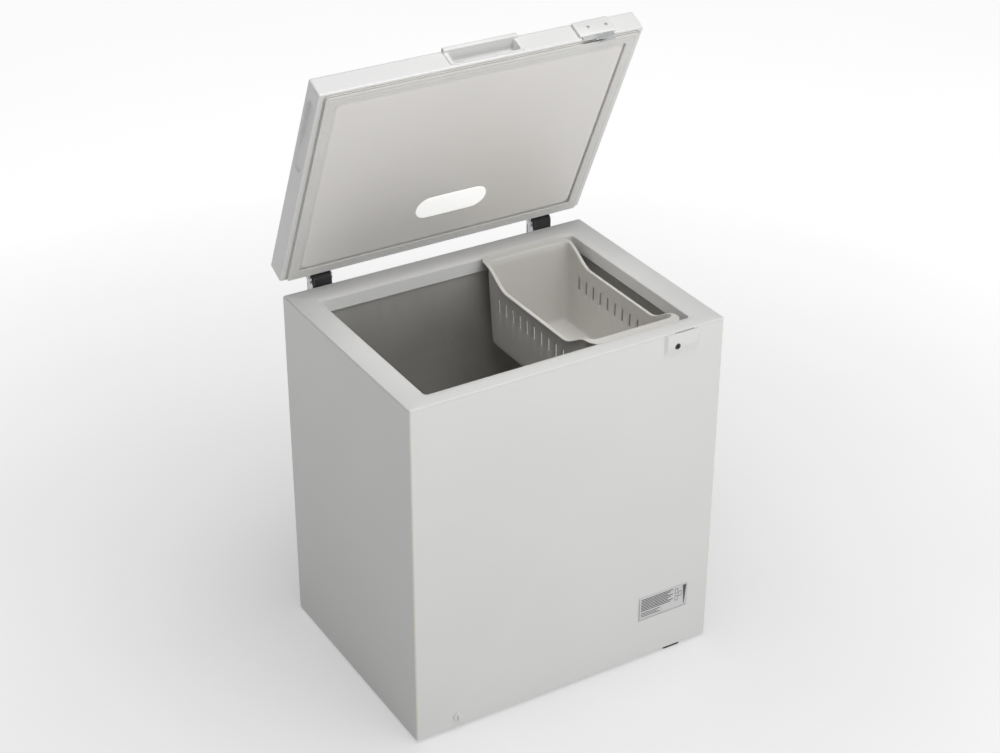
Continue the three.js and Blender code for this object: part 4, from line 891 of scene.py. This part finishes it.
basket_plastic = plastic_finish("basket_plastic", (0.66, 0.645, 0.615), 0.014, 0.36, 0.50)
low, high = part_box("basket")
rim_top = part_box("rim_frame")[1].z
level = rim_top - 0.0005
front, back = low.y + LIP_REACH, high.y - LIP_REACH
left, right = low.x + BASKET_EDGE, high.x - BASKET_EDGE
centre_x, centre_y = (left + right) / 2, (front + back) / 2


def basket_top(y):
    """Height of the basket's edge along a long side."""
    run = min(y - front, back - y) - LEVEL_END
    return level - BASKET_SCOOP * ease(run / DIP_RUN)


slot_starts = []
y = back - FIRST_SLOT - SLOT_WIDTH / 2
while y > front + 0.029:
    slot_starts.append(y)
    y -= SLOT_PITCH
side_lines = sorted([y for start in slot_starts for y in (start, start + SLOT_WIDTH)] +
                    [start - (SLOT_PITCH - SLOT_WIDTH) / 2 for start in slot_starts] +
                    [front + BASKET_CORNER, back - BASKET_CORNER, back - 0.028, back - 0.040, back - 0.052])
end_lines = [left + BASKET_CORNER + (right - left - 2 * BASKET_CORNER) * i / 10 for i in range(11)]


def basket_outline(out):
    """Points round the basket in plan, each with the side it belongs to."""
    x0, x1 = left + BASKET_CORNER, right - BASKET_CORNER
    y0, y1 = front + BASKET_CORNER, back - BASKET_CORNER

    def corner(x, y, turn):
        bend = arc((x, y), BASKET_CORNER + out, turn, turn + 90, 4)[1:-1]
        return [(a, b, "end") for a, b in bend]

    points = [(right + out, y, "side") for y in side_lines] + corner(x1, y1, 0)
    points += [(x, back + out, "end") for x in reversed(end_lines)] + corner(x0, y1, 90)
    points += [(left - out, y, "side") for y in reversed(side_lines)] + corner(x0, y0, 180)
    points += [(x, front - out, "end") for x in end_lines] + corner(x1, y0, 270)
    return points


floor_z = low.z
slot_high = level - SLOT_BELOW_TOP
slot_low = slot_high - SLOT_HEIGHT
neck = level - BASKET_SCOOP - 0.004
heights = [floor_z + 0.010, floor_z + 0.028, floor_z + 0.055, slot_low, slot_low + 0.0015,
           slot_high - 0.0015, slot_high, (slot_high + neck) / 2, neck]


def drawn_in(x, y, z, extra=0.0):
    """The walls lean in towards the floor, as the mould needs."""
    share = 1.0 - TAPER * max(neck - z, 0.0) / (neck - floor_z) - extra
    return centre_x + (x - centre_x) * share, centre_y + (y - centre_y) * share


plan = basket_outline(0.0)
rings = [[(*drawn_in(x, y, floor_z, extra), floor_z + rise) for x, y, _ in plan]
         for extra, rise in ((0.10, 0.0), (0.022, 0.0), (0.006, 0.0022))]
rings += [[(*drawn_in(x, y, z), z) for x, y, _ in plan] for z in heights]


def edge_height(kind, y):
    """Underside of the folded edge."""
    return basket_top(y) - BASKET_WALL if kind == "side" else rim_top - LIP_SEAT


for share in (0.45, 0.97):
    rings.append([(x, y, neck + (edge_height(k, y) - neck) * share) for x, y, k in plan])


def folded_out(share, drop):
    """A ring of the folded edge at a share of its reach; at the ends it climbs the rim's slope."""
    points = []
    for (x, y, kind), (wide_x, wide_y, _) in zip(plan, basket_outline(0.001)):
        way = Vector((wide_x - x, wide_y - y)).normalized()
        endness = way.y ** 2
        reach = share * (BASKET_EDGE + (LIP_REACH - BASKET_EDGE) * endness)
        climb = LIP_CLIMB * max(share - 0.75, 0.0) / 0.25
        z = edge_height(kind, y) + climb * endness - drop * (1 - endness)
        points.append((x + way.x * reach, y + way.y * reach, z))
    return points


rings += [folded_out(0.04, 0.0), folded_out(0.25, -0.0003), folded_out(0.75, -0.0001),
          folded_out(0.93, 0.0006), folded_out(1.0, 0.0022)]
shape = bmesh.new()
skin_rings(shape, rings, cap_first=True)
shape.verts.ensure_lookup_table()
gaps = []
for panel in shape.faces:
    spot = panel.calc_center_median()
    on_side = abs(spot.x - centre_x) > (right - left) * 0.42 and len(panel.verts) == 4
    in_height = slot_low - 0.0001 < spot.z < slot_high + 0.0001
    squeeze = 1.0 - TAPER * (neck - spot.z) / (neck - floor_z)
    along = centre_y + (spot.y - centre_y) / squeeze
    if on_side and in_height and any(s < along < s + SLOT_WIDTH for s in slot_starts):
        gaps.append(panel)
bmesh.ops.delete(shape, geom=gaps, context="FACES")
basket = new_piece("hanging_basket", shape, basket_plastic)
wall = basket.modifiers.new("wall", "SOLIDIFY")
wall.thickness = BASKET_WALL
wall.offset = -1.0
wall.use_even_offset = True
apply_changes(basket)
round_edges(basket, 0.0005, 2, 50.0)
smooth(basket, 40.0)
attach(basket, "basket")
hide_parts("basket")

# ---- Lid cover --------------------------------------------------------------------------------
# A deep-drawn steel lid skin, powder coated, with a long finger recess pressed into each side
# and a narrow flange turned in under it. It is drawn shut here, then turned open on its pins.

LID_SKIN = 0.0015
LID_EDGE = 0.0045
RECESS_DEPTH = 0.0065
RECESS_SOFT = 0.0022

hinge_joint = next(j for j in frame["joints"] if j["name"] == "lid_hinge")
pins = Vector(hinge_joint["pos_m"])
OPEN_ANGLE = radians(65.0)


def turn_lid(angle):
    """The move of the lid about its hinge pins: positive opens it."""
    return Matrix.Translation(pins) @ Matrix.Rotation(-angle, 4, "X") @ Matrix.Translation(-pins)


def shut_box(node):
    """Lowest and highest corners of a lid node with the lid shut."""
    back = turn_lid(-OPEN_ANGLE)
    spots = [back @ point.co for point in frame["nodes"][node].data.vertices]
    return (Vector(min(p[i] for p in spots) for i in range(3)),
            Vector(max(p[i] for p in spots) for i in range(3)))


def lid_piece(piece, slot, *nodes):
    """Opens a piece drawn shut, and puts it on the lid in place of its CAD nodes."""
    piece.data.transform(turn_lid(OPEN_ANGLE))
    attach(piece, "lid")
    if nodes:
        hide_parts(*nodes)
    return piece


low, high = shut_box("lid_cover")
panel_low, panel_high = shut_box("lid_inner_panel")
recess = {"front": low.y + 0.038, "back": low.y + 0.223, "low": low.z + 0.009, "high": low.z + 0.037}
recess_radius = (recess["high"] - recess["low"]) / 2
SIDE_STEPS = 150


def recess_in(y, z):
    """Depth of the finger recess at a point of the lid's side, fading towards the hinges."""
    run = min(max(y, recess["front"] + recess_radius), recess["back"] - recess_radius)
    middle = (recess["low"] + recess["high"]) / 2
    inside = recess_radius - sqrt((y - run) ** 2 + (z - middle) ** 2)
    along = (recess["back"] - y) / (recess["back"] - recess["front"])
    return RECESS_DEPTH * ease(inside / RECESS_SOFT) * (0.35 + 0.65 * ease(along * 1.6))


def lid_ring(inset, z, dent=0.0):
    """A ring round the lid, with many points along its sides so that they can be pressed in."""
    x, front, back = high.x - inset, low.y + inset, high.y - inset
    corner = max(LID_EDGE - inset, 0.0004)
    runs = [front + corner + (back - front - 2 * corner) * i / SIDE_STEPS for i in range(SIDE_STEPS + 1)]
    points = [(x - dent * recess_in(y, z), y) for y in runs]
    points += arc((x - corner, back - corner), corner, 0, 90, 5)[1:]
    points += arc((-x + corner, back - corner), corner, 90, 180, 5)[:-1]
    points += [(-x + dent * recess_in(y, z), y) for y in reversed(runs)]
    points += arc((-x + corner, front + corner), corner, 180, 270, 5)[1:]
    points += arc((x - corner, front + corner), corner, 270, 360, 5)[:-1]
    return [(px, py, z) for px, py in points]


def flange_ring(out, z):
    """The inner edge of the turned-in flange, in step with the lid's rings."""
    points = []
    for px, py, _ in lid_ring(0.0, z):
        points.append((max(min(px, panel_high.x + out), -panel_high.x - out),
                       max(min(py, panel_high.y + out), panel_low.y - out), z))
    return points


wall_rows = 34
rings = [lid_ring(LID_EDGE, high.z), lid_ring(LID_EDGE * 0.62, high.z - 0.0003),
         lid_ring(LID_EDGE * 0.29, high.z - LID_EDGE * 0.29), lid_ring(0.0003, high.z - LID_EDGE * 0.62),
         lid_ring(0.0, high.z - LID_EDGE)]
span = high.z - LID_EDGE - (low.z + 0.003)
rings += [lid_ring(0.0, high.z - LID_EDGE - span * i / wall_rows, 1.0) for i in range(1, wall_rows + 1)]
rings += [lid_ring(0.0002, low.z + 0.0016), lid_ring(0.0010, low.z + 0.0004), lid_ring(0.0024, low.z),
          flange_ring(0.0005, low.z), flange_ring(0.0005, low.z + LID_SKIN),
          lid_ring(LID_SKIN, low.z + LID_SKIN)]
inner_rows = 20
inner_span = high.z - LID_SKIN - low.z - LID_SKIN
rings += [lid_ring(LID_SKIN, low.z + LID_SKIN + inner_span * i / inner_rows, 1.0)
          for i in range(1, inner_rows)]
rings += [lid_ring(LID_SKIN, high.z - LID_SKIN)]
shape = bmesh.new()
skin_rings(shape, rings, cap_first=True, cap_last=True)
lid_skin = new_piece("lid_skin", shape, white_paint)
handle_low, handle_high = shut_box("lid_handle")
HANDLE_RIM = 0.0095
HANDLE_CUP = 0.002
grip_low = Vector((handle_low.x + HANDLE_RIM, low.y, low.z + 0.009))
grip_high = Vector((handle_high.x - HANDLE_RIM, handle_high.y - HANDLE_CUP, low.z + 0.038))
HANDLE_ROOM = 0.0003
room = block("room", (grip_low.x - HANDLE_CUP - HANDLE_ROOM, low.y - 0.01,
                      grip_low.z - HANDLE_CUP - HANDLE_ROOM),
             (grip_high.x + HANDLE_CUP + HANDLE_ROOM, low.y + 0.01,
              grip_high.z + HANDLE_CUP + HANDLE_ROOM), white_paint)
combine(lid_skin, [room], "DIFFERENCE")
smooth(lid_skin, 35.0)
lid_piece(lid_skin, "paint", "lid_cover")

# ---- Lid inner panel and seal -------------------------------------------------------------------
# The lid's inside is a vacuum-formed sheet with a raised centre. A soft hollow seal is
# pressed into the groove round it, its corners welded.

PANEL_SHEET = 0.0016


def seal_finish():
    made = new_finish("grey_seal", (0.66, 0.655, 0.64))
    cloud = add_noise(made, 14.0, 3.0)
    colour = tint(made, cloud, (0.645, 0.64, 0.625), (0.675, 0.67, 0.655), 0.3, 0.7)
    # Its sharp edges, the groove at its outer foot among them, are drawn darker: painted shade for the dark
    # line along the seal's foot.
    edge_wear_and_shade(made, colour, (0.50, 0.49, 0.47), 0.3)
    sheen(made, cloud, 0.42, 0.55)
    relief(made, add_noise(made, 500.0, 2.0), 0.00008, 0.3)
    made.node_tree.nodes["Principled BSDF"].inputs["Specular IOR Level"].default_value = 0.35
    return made


panel_plastic = plastic_finish("panel_plastic", (0.75, 0.73, 0.705), 0.012, 0.34, 0.48)
grey_seal = seal_finish()
seal_low, seal_high = shut_box("lid_gasket")
SEAL_WIDTH = 0.024
GROOVE = 0.003
centre = {
    "x": panel_high.x - SEAL_WIDTH - GROOVE, "front": panel_low.y + SEAL_WIDTH + GROOVE,
    "back": panel_high.y - SEAL_WIDTH - GROOVE,
}
base = low.z - 0.002


def panel_ring(out, z, corner=0.016):
    """A ring round the raised centre, pushed out by the given amount."""
    return ring(-centre["x"] - out, centre["x"] + out, centre["front"] - out, centre["back"] + out,
                max(corner + out, 0.002), z, 8)


foot_x, foot_front, foot_back = panel_high.x, panel_low.y, panel_high.y
rings = [
    ring(-foot_x, foot_x, foot_front, foot_back, 0.005, base, 8), panel_ring(0.0028, base),
    panel_ring(0.0022, base - 0.0005), panel_ring(0.0006, base - 0.0014),
    panel_ring(-0.0014, base - 0.0026), panel_ring(-0.0034, panel_low.z + 0.0006),
    panel_ring(-0.0056, panel_low.z + 0.0001), panel_ring(-0.0080, panel_low.z),
    panel_ring(-0.0110, panel_low.z),
]
shape = bmesh.new()
skin_rings(shape, rings, cap_last=True)
inner_panel = new_piece("lid_liner_panel", shape, panel_plastic)
for face in inner_panel.data.polygons:
    if abs(face.normal.z) > 0.9 and face.normal.z > 0:
        inner_panel.data.flip_normals()
        break
sheet = inner_panel.modifiers.new("sheet", "SOLIDIFY")
sheet.thickness = PANEL_SHEET
sheet.offset = -1.0
apply_changes(inner_panel)

lens_low, lens_high = shut_box("lamp_lens")


def stadium(inset, z, steps=14):
    """A ring with round ends, for the lamp."""
    radius = (lens_high.y - lens_low.y) / 2 - inset
    return ring(lens_low.x + inset, lens_high.x - inset, lens_low.y + inset, lens_high.y - inset,
                radius - 0.00002, z, steps)


shape = bmesh.new()
skin_rings(shape, [stadium(-0.0004, panel_low.z - 0.01), stadium(-0.0004, panel_low.z + 0.02)],
           cap_first=True, cap_last=True)
lamp_hole = new_piece("lamp_hole", shape, panel_plastic)
combine(inner_panel, [lamp_hole], "DIFFERENCE")
smooth(inner_panel, 40.0)
lid_piece(inner_panel, "panel_plastic", "lid_inner_panel")


def seal_ring(into, z):
    """A ring of the seal, a distance in from its outer edge."""
    return ring(-foot_x + into, foot_x - into, foot_front + into, foot_back - into, 0.006, z, 8)


thick = seal_high.z - seal_low.z
profile = [
    (0.0006, 1.0), (0.0002, 0.90), (0.0040, 0.80), (0.0040, 0.62), (0.0004, 0.50), (0.0, 0.16),
    (0.0016, 0.03),
    (0.0040, 0.0), (0.0068, 0.04), (0.0080, 0.16), (0.0092, 0.04), (0.0150, 0.0), (0.0165, 0.14),
    (0.0180, 0.04), (0.0215, 0.02), (0.0232, 0.14), (0.0237, 0.40), (0.0226, 0.62), (0.0238, 0.86),
    (0.0232, 1.0),
]
shape = bmesh.new()
skin_rings(shape, [seal_ring(into, seal_low.z + thick * share) for into, share in profile], closed=True)
seal = smooth(new_piece("lid_seal", shape, grey_seal), 70.0)
lid_piece(seal, "seal", "lid_gasket")

# ---- Lamp ----------------------------------------------------------------------------------------
# An opal plastic lens with round ends snaps into the lid's inner panel, over a white tray that
# holds a small circuit board with its lights.



def lens_finish():
    made = new_finish("opal_lens", (0.86, 0.86, 0.85))
    shader = made.node_tree.nodes["Principled BSDF"]
    shader.inputs["Subsurface Weight"].default_value = 0.25
    shader.inputs["Subsurface Radius"].default_value = (0.004, 0.004, 0.004)
    shader.inputs["Emission Color"].default_value = (1.0, 1.0, 0.99, 1.0)
    shader.inputs["Emission Strength"].default_value = 0.45
    tint(made, add_noise(made, 18.0, 2.0), (0.85, 0.85, 0.84), (0.88, 0.88, 0.87))
    sheen(made, add_noise(made, 60.0, 3.0), 0.22, 0.34)
    ribs = made.node_tree.nodes.new("ShaderNodeTexWave")
    ribs.inputs["Scale"].default_value = 110.0
    made.node_tree.links.new(made.node_tree.nodes["Place"].outputs["Object"], ribs.inputs["Vector"])
    relief(made, ribs.outputs["Fac"], 0.0003, 0.35)
    return made


def board_finish():
    made = new_finish("circuit_board", (0.05, 0.20, 0.08))
    weave = add_noise(made, 300.0, 4.0)
    tint(made, weave, (0.04, 0.17, 0.07), (0.07, 0.25, 0.10))
    sheen(made, weave, 0.3, 0.5)
    relief(made, weave, 0.0001, 0.4)
    return made


opal = lens_finish()
rings = [stadium(0.0, lens_high.z), stadium(0.0, panel_low.z + 0.0002),
         stadium(0.0003, panel_low.z - 0.0003),
         stadium(0.0012, lens_low.z + 0.0004), stadium(0.0030, lens_low.z + 0.0001),
         stadium(0.0060, lens_low.z), stadium(0.0120, lens_low.z)]
shape = bmesh.new()
skin_rings(shape, rings, cap_first=True, cap_last=True)
lens = smooth(new_piece("lamp_opal_lens", shape, opal), 50.0)
lid_piece(lens, "lens", "lamp_lens")
dress(["lamp_tray"], white_plastic)
dress(["lamp_board"], board_finish())

# ---- Handle ----------------------------------------------------------------------------------------
# A moulded white cup let into the lid's front edge, with a lip above it to pull on. It clips into
# the skin before the lid is foamed.

CUP_CORNER = 0.0045


def cup_ring(grow, y, corner, steps=6):
    """A ring round the grip's opening, standing upright."""
    return upright_ring(grip_low.x - grow, grip_high.x + grow, grip_low.z - grow, grip_high.z + grow,
                        corner + grow, y, steps)


def plate_ring(inset, y):
    return upright_ring(handle_low.x + inset, handle_high.x - inset, grip_low.z - 0.004 + inset,
                        high.z - 0.001 - inset, 0.005 - inset, y, 6)


front = low.y - 0.0019
deep = grip_high.y
rings = [
    plate_ring(0.0, low.y - 0.0003), plate_ring(0.0, front + 0.0006), plate_ring(0.0006, front),
    cup_ring(0.0018, front, CUP_CORNER), cup_ring(0.0006, front + 0.0004, CUP_CORNER),
    cup_ring(0.0, front + 0.0016, CUP_CORNER), cup_ring(-0.0010, deep - 0.006, CUP_CORNER),
    cup_ring(-0.0022, deep - 0.0025, CUP_CORNER), cup_ring(-0.0050, deep - 0.0005, CUP_CORNER),
    cup_ring(-0.0075, deep, CUP_CORNER),
]
back_rings = [
    cup_ring(-0.0060, deep + 0.0018, CUP_CORNER), cup_ring(0.0, deep - 0.001, CUP_CORNER),
    cup_ring(HANDLE_CUP - 0.0002, low.y + 0.004, CUP_CORNER),
    cup_ring(HANDLE_CUP - 0.0002, low.y - 0.0003, CUP_CORNER),
]
shape = bmesh.new()
skin_rings(shape, rings, cap_last=True)
pocket = new_piece("lid_grip", shape, white_plastic)
shape = bmesh.new()
skin_rings(shape, [plate_ring(0.0, low.y - 0.0003)] + list(reversed(back_rings)), cap_last=True)
pocket_back = new_piece("pocket_back", shape, white_plastic)
both = bmesh.new()
both.from_mesh(pocket.data)
both.from_mesh(pocket_back.data)
bmesh.ops.remove_doubles(both, verts=both.verts[:], dist=0.00001)
bpy.data.objects.remove(pocket_back)
bpy.data.objects.remove(pocket)
pocket = new_piece("lid_grip", both, white_plastic)

lip_front = handle_low.y
lip_low = grip_high.z
outline = arc((lip_front + 0.0028, handle_high.z - 0.0028), 0.0028, 180, 90, 5)
outline += [(low.y - 0.0004, handle_high.z), (low.y - 0.0004, lip_low + 0.0004)]
outline += arc((lip_front + 0.0030, lip_low + 0.0034), 0.0030, 270, 180, 5)
shape = bmesh.new()
ends = [(handle_low.x + inset, shrink) for inset, shrink in ((0.0, 0.80), (0.0006, 0.92), (0.0020, 1.0))]
ends += [(handle_high.x - inset, shrink) for inset, shrink in ((0.0020, 1.0), (0.0006, 0.92), (0.0, 0.80))]
mid_y, mid_z = low.y - 0.0004, (lip_low + handle_high.z) / 2
skin_rings(shape, [[(x, mid_y + (y - mid_y) * s, mid_z + (z - mid_z) * (0.5 + 0.5 * s)) for y, z in outline]
                   for x, s in ends], cap_first=True, cap_last=True)
lip = new_piece("lip", shape, white_plastic)
combine(pocket, [lip], "UNION")
smooth(pocket, 40.0)
lid_piece(pocket, "white_plastic", "lid_handle")

# ---- Latch -------------------------------------------------------------------------------------------
# A chromed striker is pressed from one strip, its tongue dropping through the lock's slit. Two
# cross-head screws hold it to the lid behind a raised white plastic cover.

SCREW_HEAD = 0.0032


def chrome_finish():
    # Only three quarters metallic, so part of its light grey shows as flat colour: a painted reflection of
    # bright surroundings, which the dark sky here doesn't give.
    made = new_finish("bright_chrome", (0.80, 0.81, 0.82), 0.75)
    haze = add_noise(made, 30.0, 4.0)
    colour = tint(made, haze, (0.76, 0.77, 0.78), (0.84, 0.85, 0.86))
    edge_wear_and_shade(made, colour, (0.55, 0.54, 0.52), 0.5)
    sheen(made, haze, 0.24, 0.36)
    relief(made, add_noise(made, 250.0, 3.0), 0.0001, 0.2)
    return made


chrome = chrome_finish()
low, high = shut_box("latch_cover")
shape = bmesh.new()
soft = 0.0036
rings = [
    upright_ring(low.x, high.x, low.z, high.z, 0.006, high.y, 5),
    upright_ring(low.x, high.x, low.z, high.z, 0.006, low.y + soft, 5),
    upright_ring(low.x + soft * 0.3, high.x - soft * 0.3, low.z + soft * 0.3, high.z - soft * 0.3,
                 0.0055, low.y + soft * 0.3, 5),
    upright_ring(low.x + soft, high.x - soft, low.z + soft, high.z - soft, 0.005, low.y, 5),
]
skin_rings(shape, rings, cap_first=True, cap_last=True)
latch_cover = new_piece("striker_cover", shape, white_plastic)
striker_low, striker_high = shut_box("latch_striker")
rooms = [block("room", (striker_low.x - 0.0006, striker_low.y - 0.0004, low.z - 0.01),
               (striker_high.x + 0.0006, high.y + 0.001, striker_high.z + 0.0006), white_plastic)]
combine(latch_cover, rooms, "DIFFERENCE")
smooth(latch_cover, 30.0)
lid_piece(latch_cover, "white_plastic", "latch_cover")



def softened(name, node, finish, width=0.0003, angle=40.0, back=None):
    """The node's own shape with its flat faces merged and its sharp edges rounded."""
    shape = bmesh.new()
    shape.from_mesh(frame["nodes"][node].data)
    if back is not None:
        bmesh.ops.transform(shape, matrix=back, verts=shape.verts[:])
    bmesh.ops.dissolve_limit(shape, angle_limit=radians(1.0), verts=shape.verts[:],
                             edges=shape.edges[:])
    sharp = [edge for edge in shape.edges
             if len(edge.link_faces) == 2 and edge.calc_face_angle(0.0) > radians(angle)]
    bmesh.ops.bevel(shape, geom=sharp, offset=width, segments=2, affect="EDGES",
                    clamp_overlap=True)
    return smooth(new_piece(name, shape, finish), 40.0)


tongue = softened("striker_tongue", "latch_striker", chrome, width=0.0002,
                  back=turn_lid(-OPEN_ANGLE))
lid_piece(tongue, "chrome", "latch_striker")


def cross_screw(name, node):
    """A cheese-head screw with a cross recess, lying along y."""
    low, high = shut_box(node)
    middle = (low + high) / 2
    head = turned(name, [(SCREW_HEAD, high.y), (SCREW_HEAD, low.y + 0.0006),
                         (SCREW_HEAD * 0.86, low.y + 0.0001), (SCREW_HEAD * 0.5, low.y - 0.0001)],
                  (middle.x, 0.0, middle.z), "y", steel, 32)
    arm, half, deep = SCREW_HEAD * 0.55, 0.00035, 0.0007
    cutters = [
        block("cross", (middle.x - arm, low.y - 0.001, middle.z - half),
              (middle.x + arm, low.y + deep, middle.z + half), steel),
        block("cross", (middle.x - half, low.y - 0.001, middle.z - arm),
              (middle.x + half, low.y + deep, middle.z + arm), steel),
    ]
    combine(head, cutters, "DIFFERENCE")
    smooth(head, 35.0)
    return lid_piece(head, "steel", node)


cross_screw("striker_screw_1", "latch_screw_1")
cross_screw("striker_screw_2", "latch_screw_2")

# The screw in the front right corner of the lid's flange, its domed head facing down when shut.
low, high = shut_box("lid_corner_screw")
middle = (low + high) / 2
radius = (high.x - low.x) / 2
corner_screw = turned("flange_screw", [
    (radius * 0.45, low.z), (radius * 0.85, low.z + 0.0003), (radius, low.z + 0.0008),
    (radius, low.z + 0.0012),
], (middle.x, middle.y, 0.0), "z", steel, 24)
smooth(corner_screw, 35.0)
lid_piece(corner_screw, "steel", "lid_corner_screw")

# ---- Spring hinges -------------------------------------------------------------------------------------
# Two hinges screwed to the cabinet's back: a folded steel base, a plastic block that
# holds the spring and its plunger, a pin, and a leaf on the lid's back edge.



def hinge_base(side):
    """The base: a back plate, a seat and two cheeks that reach up to the pin."""
    node = "hinge_base_" + side
    base = softened("hinge_bracket_" + side, node, galvanised)
    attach(base, "cabinet")
    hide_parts(node)


def spring_block(side):
    """The plastic block that holds the spring, its edges rounded."""
    node = "hinge_block_" + side
    body = softened("hinge_spring_block_" + side, node, black_plastic, width=0.0005, angle=50.0)
    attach(body, "cabinet")
    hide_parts(node)


def hinge_pin(side):
    """The pin, its ends domed where they are riveted."""
    low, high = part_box("hinge_pin_" + side)
    radius = (high.z - low.z) / 2
    middle = (low + high) / 2
    pin = turned("hinge_rivet_" + side,
                 [(radius * 0.5, low.x), (radius * 0.85, low.x + 0.0003), (radius, low.x + 0.001),
                  (radius, high.x - 0.001), (radius * 0.85, high.x - 0.0003), (radius * 0.5, high.x)],
                 (0.0, middle.y, middle.z), "x", steel, 32)
    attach(pin, "lid")
    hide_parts("hinge_pin_" + side)


def hinge_leaf(side):
    """The leaf that ties the pin to the lid's back edge."""
    node = "hinge_leaf_" + side
    leaf = softened("hinge_strap_" + side, node, galvanised)
    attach(leaf, "lid")
    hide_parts(node)


def plunger(side):
    """The plunger that the spring pushes up against the lid's leaf."""
    node = "hinge_plunger_" + side
    low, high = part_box(node)
    middle = (low + high) / 2
    radius = (high.x - low.x) / 2
    cap = turned("spring_plunger_" + side,
                 [(radius - 0.001, low.z), (radius, low.z + 0.001), (radius, high.z - 0.0016),
                  (radius - 0.0005, high.z - 0.0005), (radius - 0.0018, high.z)],
                 (middle.x, middle.y, 0.0), "z", white_plastic, 40)
    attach(cap, "plunger_" + side)
    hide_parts(node)


for hinge_side in ("left", "right"):
    hinge_base(hinge_side)
    spring_block(hinge_side)
    hinge_pin(hinge_side)
    hinge_leaf(hinge_side)
    plunger(hinge_side)
dress(["hinge_spring_left", "hinge_spring_right"], steel)
